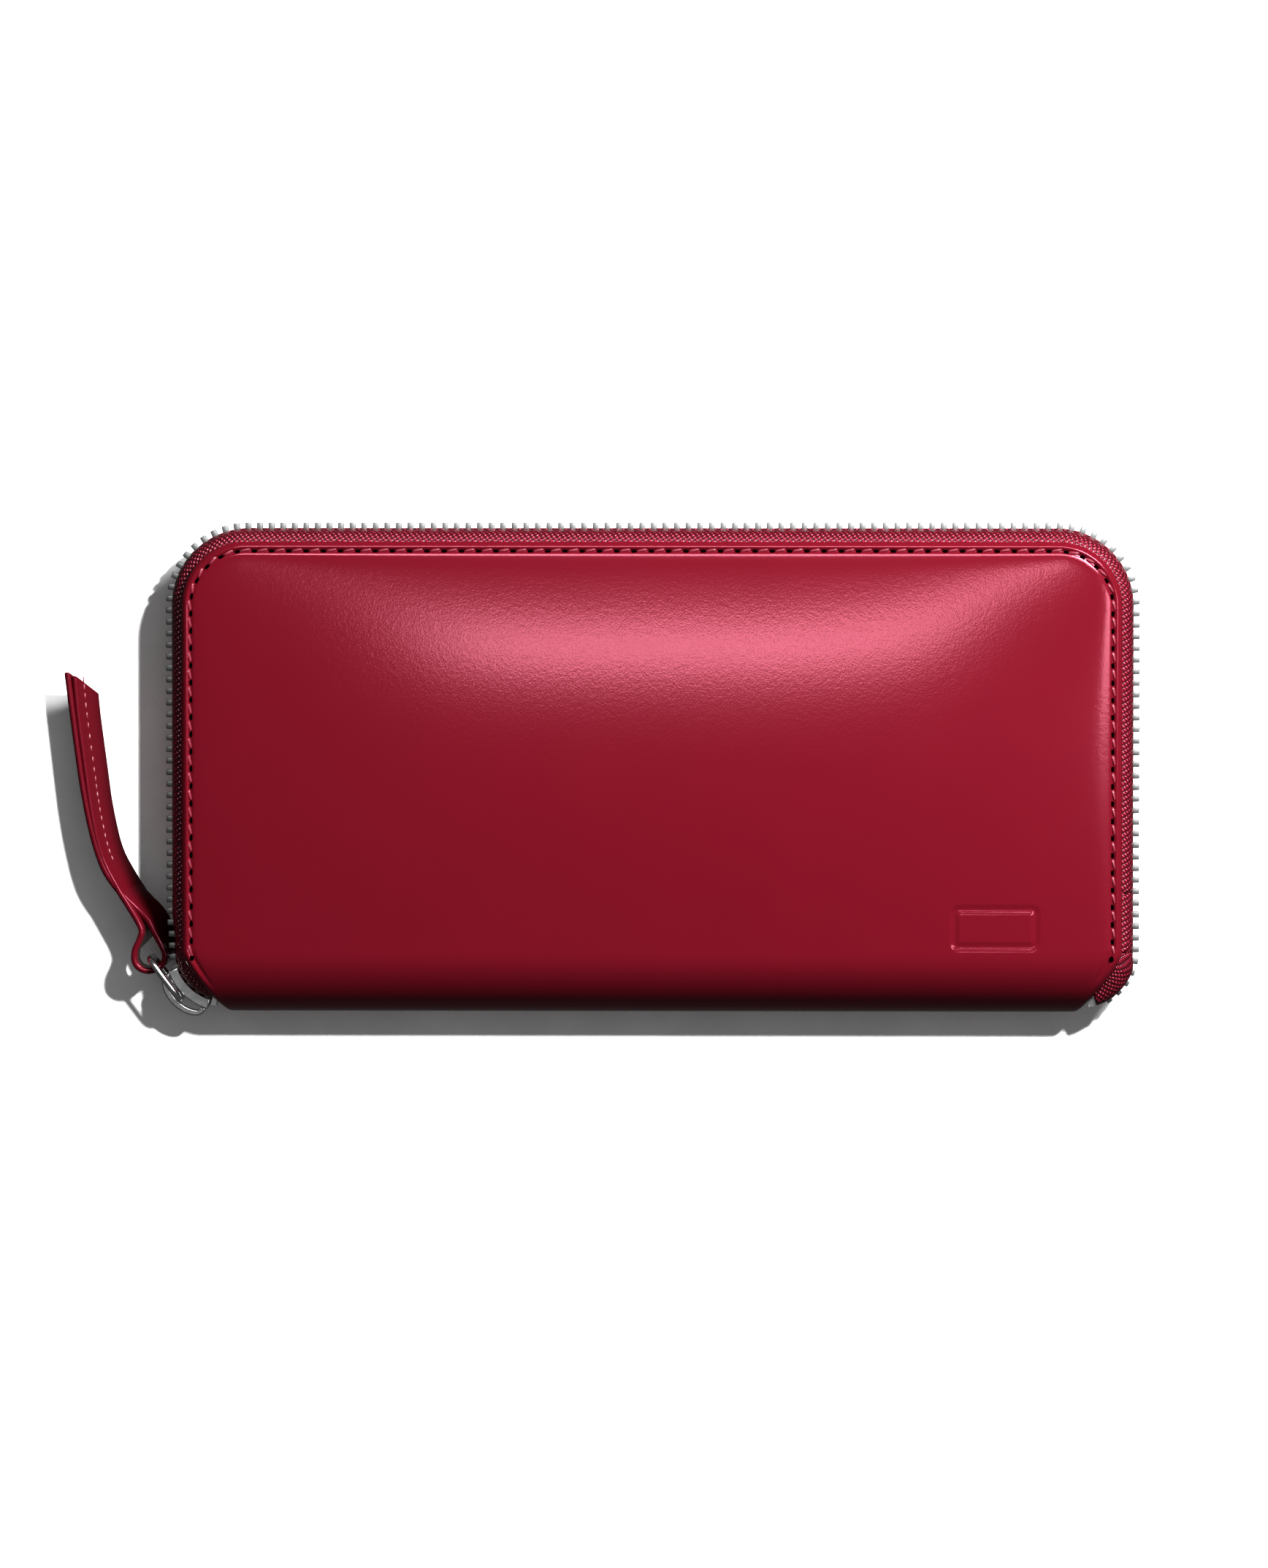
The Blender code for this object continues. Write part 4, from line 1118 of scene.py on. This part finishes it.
# ---- inside -------------------------------------------------------------
PLAIN_NODES = {
    "lining": ["front_lining", "back_lining", "pocket_back_panel", "pocket_front_panel"],
    "board": ["front_stiffener", "back_stiffener"],
    "foam": ["front_padding", "back_padding"],
    "slider_metal": ["zip_bottom_stop", "zip_top_stop_front", "zip_top_stop_back"],
}


def box_of(name):
    low, high = (Vector(corner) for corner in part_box(name))
    return low, high, (low + high) / 2, high - low


def rounded_box(bm, low, high, radius, segments=2):
    """A box between two corners with rounded edges."""
    start = len(bm.verts)
    matrix = Matrix.Translation((low + high) / 2) @ Matrix.Diagonal((*(high - low), 1.0))
    bmesh.ops.create_cube(bm, size=1.0, matrix=matrix)
    bm.verts.ensure_lookup_table()
    fresh = set(bm.verts[start:])
    edges = [edge for edge in bm.edges if edge.verts[0] in fresh and edge.verts[1] in fresh]
    bmesh.ops.bevel(bm, geom=edges, offset=radius, segments=segments, profile=0.5,
                    affect="EDGES", material=-1)


def stitch_line(bm, first, last, up, pitch, radius):
    """Capsules from one place to another."""
    along = (last - first).normalized()
    count = max(round((last - first).length / pitch), 1)
    for index in range(count):
        centre = first.lerp(last, (index + 0.5) / count) + up * radius * 0.4
        add_capsule(bm, centre, along, up, pitch * 0.68, radius, 0.0)


SLOT_STEP = 14.0 * MM          # from one card slot's edge to the next
HEM_DEPTH = 2.6 * MM
HEM_RISE = 0.16 * MM
SLOT_STITCH_PITCH = 2.6 * MM
SLOT_STITCH_RADIUS = 0.14 * MM


def build_slots(side):
    """Three stepped card slots with a folded hem, sewn at the ends and middle."""
    up = -UP if side == "front" else UP
    threads = bmesh.new()
    for index in (1, 2, 3):
        node = f"{side}_card_slot_{index}"
        low, high, _, _ = box_of(node)
        bm = bmesh.new()
        rounded_box(bm, low, high, 0.12 * MM)
        face = low.z if side == "front" else high.z
        hem_face = face + up.z * HEM_RISE
        hem_low = Vector((low.x + 0.3 * MM, high.y - HEM_DEPTH, min(face - 0.05 * MM, hem_face)))
        hem_high = Vector((high.x - 0.3 * MM, high.y - 0.05 * MM, max(face + 0.05 * MM, hem_face)))
        rounded_box(bm, hem_low, hem_high, 0.07 * MM)
        sheet = finish_piece(f"{side}_slot_leather_{index}", bm, finish("slot_leather"))
        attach(sheet, side)
        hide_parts(node)
        top = face + up.z * 0.17 * MM
        bottom = high.y - SLOT_STEP if index < 3 else low.y + 1.0 * MM
        bottom = max(bottom, low.y + 1.0 * MM)
        lines = [((low.x + 1.5 * MM, high.y - 2.1 * MM, top), (high.x - 1.5 * MM, high.y - 2.1 * MM, top))]
        for x in (low.x + 1.6 * MM, -0.4 * MM, 0.4 * MM, high.x - 1.6 * MM):
            lines.append(((x, high.y - 3.0 * MM, face), (x, bottom, face)))
        for first, last in lines:
            stitch_line(threads, Vector(first), Vector(last), up, SLOT_STITCH_PITCH, SLOT_STITCH_RADIUS)
    piece = finish_piece(f"{side}_slot_stitches", threads, finish("thread"))
    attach(piece, side)


GUSSET_DRAWN_IN = 1.8 * MM     # the pleat's sewn edges, in from the node's end
GUSSET_LIFT = 2.5 * MM         # and its bottom, up from the node's


def build_gusset(name):
    """A pleated gusset between a cover's lining and the coin pocket."""
    low, high, centre, size = box_of(name)
    outer, inner = (high.x, low.x) if centre.x > 0 else (low.x, high.x)
    outer -= math.copysign(GUSSET_DRAWN_IN, outer)
    steps, rows = 12, 16
    sections = []
    for step in range(steps + 1):
        share = step / steps
        fold = smoothstep(0.0, 1.0, 1.0 - abs(2.0 * share - 1.0))
        z = low.z + (high.z - low.z) * share
        section = []
        for row in range(rows + 1):
            y = low.y + GUSSET_LIFT + (size.y - GUSSET_LIFT) * row / rows
            reach = fold * (0.35 + 0.65 * smoothstep(0.0, 1.0, row / rows))
            section.append(Vector((outer + (inner - outer) * reach, y, z)))
        sections.append(section)
    bm = sweep(bmesh.new(), sections, closed_section=False)
    piece = finish_piece(name + "_fold", bm, finish("lining"), angle=60.0)
    wall(piece, 0.35 * MM, 0.0)
    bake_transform(piece)
    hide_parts(name)


SMALL_PITCH = 1.6 * MM
SMALL_TOOTH = (0.75 * MM, 1.35 * MM)   # along the pocket's zip and across it


def build_pocket_zip():
    """The coin pocket's small zip: taped edges, teeth and stops."""
    low, _, centre, size = box_of("pocket_zip_teeth_front")
    closed = bmesh.new()
    tooth = bmesh.new()
    matrix = Matrix.Diagonal((SMALL_TOOTH[0], size.y, SMALL_TOOTH[1], 1.0))
    bmesh.ops.create_cube(tooth, size=1.0, matrix=matrix)
    bmesh.ops.bevel(tooth, geom=tooth.edges[:], offset=0.13 * MM, segments=2, profile=0.5, affect="EDGES",
                    material=-1)
    shape = bpy.data.meshes.new("small_tooth")
    tooth.to_mesh(shape)
    tooth.free()
    for index in range(int(size.x / SMALL_PITCH)):
        for row, phase in (("front", 0.25), ("back", 0.75)):
            x = low.x + (index + phase) * SMALL_PITCH
            z = (low.z + 0.45 * MM) if row == "front" else (THICKNESS - low.z - 0.45 * MM)
            start = len(closed.verts)
            closed.from_mesh(shape)
            closed.verts.ensure_lookup_table()
            bmesh.ops.translate(closed, vec=Vector((x, centre.y, z)), verts=closed.verts[start:])
    bpy.data.meshes.remove(shape)
    teeth = finish_piece("pocket_teeth", closed, finish("teeth"), angle=50.0)
    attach(teeth, "coin_pocket")
    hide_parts("pocket_zip_teeth_front", "pocket_zip_teeth_back")
    for side in ("front", "back"):
        tape_low, tape_high, _, _ = box_of(f"pocket_zip_tape_{side}")
        rows, steps = 8, 120
        z = (tape_low.z + tape_high.z) / 2
        sections = []
        for step in range(steps + 1):
            x = tape_low.x + (tape_high.x - tape_low.x) * step / steps
            sections.append([Vector((x, tape_low.y + (tape_high.y - tape_low.y) * row / rows, z))
                             for row in range(rows + 1)])
        bm = sweep(bmesh.new(), sections, closed_section=False)
        section_uv(bm, sections)
        tape = finish_piece(f"pocket_tape_{side}", bm, finish("tape"))
        wall(tape, tape_high.z - tape_low.z, 0.0)
        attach(tape, "coin_pocket")
        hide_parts(f"pocket_zip_tape_{side}")
    for name in ("pocket_zip_stop_left", "pocket_zip_stop_right"):
        bm = bmesh.new()
        rounded_box(bm, *box_of(name)[:2], 0.2 * MM)
        piece = finish_piece(name + "_shape", bm, finish("slider_metal"))
        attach(piece, "coin_pocket")
        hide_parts(name)


def round_node(name, body, look, radius):
    """A copy of a node's own shape with its edges rounded."""
    node = frame["nodes"][name]
    bm = bmesh.new()
    bm.from_mesh(node.data)
    bmesh.ops.transform(bm, matrix=node.matrix_world, verts=bm.verts)
    bmesh.ops.dissolve_limit(bm, angle_limit=math.radians(1.0), verts=bm.verts, edges=bm.edges)
    piece = finish_piece(name + "_smooth", bm, finish(look))
    round_edges(piece, radius, 3, 30.0)
    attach(piece, body)
    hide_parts(name)


class WALLET_OT_inside(bpy.types.Operator):
    """Lining, card slots, coin pocket, its zip, and gussets"""
    bl_idname = "wallet.inside"
    bl_label = "Inside"

    def execute(self, context):
        for look, names in PLAIN_NODES.items():
            for name in names:
                node = frame["nodes"][name]
                node.data.materials.clear()
                node.data.materials.append(finish(look))
        for side in ("front", "back"):
            build_slots(side)
        for end in ("left", "right"):
            build_gusset(f"gusset_back_{end}")
            build_gusset(f"gusset_front_{end}")
        build_pocket_zip()
        round_node("pocket_edge_binding", "coin_pocket", "slot_leather", 0.25 * MM)
        round_node("pocket_slider_body", "pocket_slider", "slider_metal", 0.2 * MM)
        round_node("pocket_slider_bail", "pocket_slider", "slider_metal", 0.15 * MM)
        round_node("pocket_puller", "pocket_puller", "slider_metal", 0.2 * MM)
        return {"FINISHED"}


# ---- stage --------------------------------------------------------------
def area_light(name, place, aim, size, power):
    data = bpy.data.lights.new(name, "AREA")
    data.shape = "RECTANGLE"
    data.size, data.size_y = size
    data.energy = power
    light = bpy.data.objects.new(name, data)
    light.location = place
    light.rotation_euler = (Vector(aim) - Vector(place)).to_track_quat("-Z", "Y").to_euler()
    bpy.context.scene.collection.objects.link(light)
    return light


SENSOR = 36.0                  # millimetres, along the longer side of the picture
SEEN_HEIGHT = 316.7 * MM       # of the scene, at the top of the wallet


class WALLET_OT_stage(bpy.types.Operator):
    """Pale floor, studio lights and the camera"""
    bl_idname = "wallet.stage"
    bl_label = "Stage"

    def execute(self, context):
        settings = context.scene.wallet_stage
        bm = bmesh.new()
        bmesh.ops.create_grid(bm, x_segments=2, y_segments=2, size=settings.floor_size / 2)
        floor = finish_piece("floor", bm, finish("floor"))
        floor.visible_glossy = False
        floor.visible_diffuse = False

        focus = Vector((-3.5 * MM, -2.65 * MM, THICKNESS))
        distance = settings.lens * SEEN_HEIGHT / SENSOR
        away = Vector((math.tan(settings.tilt_right), math.tan(settings.tilt_up), 1.0)).normalized()
        data = bpy.data.cameras.new("camera")
        data.lens = settings.lens
        data.sensor_width = SENSOR
        data.clip_end = 100.0
        camera = bpy.data.objects.new("camera", data)
        camera.location = focus + away * distance
        right = Vector((0, 1, 0)).cross(away).normalized()
        upward = away.cross(right)
        camera.rotation_euler = Matrix((right, upward, away)).transposed().to_euler()
        context.scene.collection.objects.link(camera)
        context.scene.camera = camera

        floor_only = bpy.data.collections.new("floor_only")
        floor_only.objects.link(floor)
        sun = area_light("floor_light", (0.50, 0.56, 1.50), (0, 0, 0), (0.07, 0.07), 80.0)
        fill = area_light("floor_fill", (0.0, 0.0, 1.2), (0, 0, 0), (1.6, 1.6), 3.3)
        fill.data.use_shadow = False
        for light in (sun, fill):
            light.light_linking.receiver_collection = floor_only
        area_light("key", (0.29, 0.34, 0.46), (0.0, 0.0, 0.01), (0.20, 0.14), 6.2)
        strip = area_light("strip", (0.00, 0.172, 1.90), (0.0, 0.0, 0), (0.30, 0.065), 1.22)
        top_glint = area_light("top_glint", (0.10, 0.42, 0.78), (0, 0, 0), (0.60, 0.25), 8.0)
        side_glint = area_light("side_glint", (0.44, 0.05, 0.80), (0, 0, 0), (0.10, 0.40), 1.6)
        for light in (strip, top_glint, side_glint):
            light.visible_diffuse = False
        world = context.scene.world or bpy.data.worlds.new("world")
        context.scene.world = world
        world.use_nodes = True
        world.node_tree.nodes["Background"].inputs["Color"].default_value = (1.0, 1.0, 1.0, 1.0)
        world.node_tree.nodes["Background"].inputs["Strength"].default_value = 0.045
        context.scene.view_settings.view_transform = "Standard"
        return {"FINISHED"}


# ---- panel and running --------------------------------------------------
class WALLET_PT_panel(bpy.types.Panel):
    """Buttons for every part of the wallet"""
    bl_idname = "WALLET_PT_panel"
    bl_label = "Zip Around Wallet"
    bl_space_type = "VIEW_3D"
    bl_region_type = "UI"
    bl_category = "Wallet"

    def draw(self, context):
        for name in ("wallet_leather", "wallet_zip", "wallet_inside", "wallet_stage"):
            group = getattr(context.scene, name)
            for prop in group.bl_rna.properties:
                if prop.identifier not in ("rna_type", "name"):
                    self.layout.prop(group, prop.identifier)
        for operator in OPERATORS:
            self.layout.operator(operator.bl_idname)


SETTINGS = {"wallet_leather": WalletLeather, "wallet_zip": WalletZip, "wallet_inside": WalletInside,
            "wallet_stage": WalletStage}
OPERATORS = (WALLET_OT_stage, WALLET_OT_covers, WALLET_OT_stitches, WALLET_OT_chain, WALLET_OT_slider,
             WALLET_OT_strap, WALLET_OT_inside)


def register():
    for group in SETTINGS.values():
        bpy.utils.register_class(group)
    for operator in OPERATORS:
        bpy.utils.register_class(operator)
    bpy.utils.register_class(WALLET_PT_panel)
    for name, group in SETTINGS.items():
        setattr(bpy.types.Scene, name, PointerProperty(type=group))


def unregister():
    for name in SETTINGS:
        delattr(bpy.types.Scene, name)
    bpy.utils.unregister_class(WALLET_PT_panel)
    for operator in reversed(OPERATORS):
        bpy.utils.unregister_class(operator)
    for group in reversed(list(SETTINGS.values())):
        bpy.utils.unregister_class(group)


def main():
    register()
    for operator in OPERATORS:
        group, call = operator.bl_idname.split(".")
        getattr(getattr(bpy.ops, group), call)()


if __name__ == "__main__":
    main()
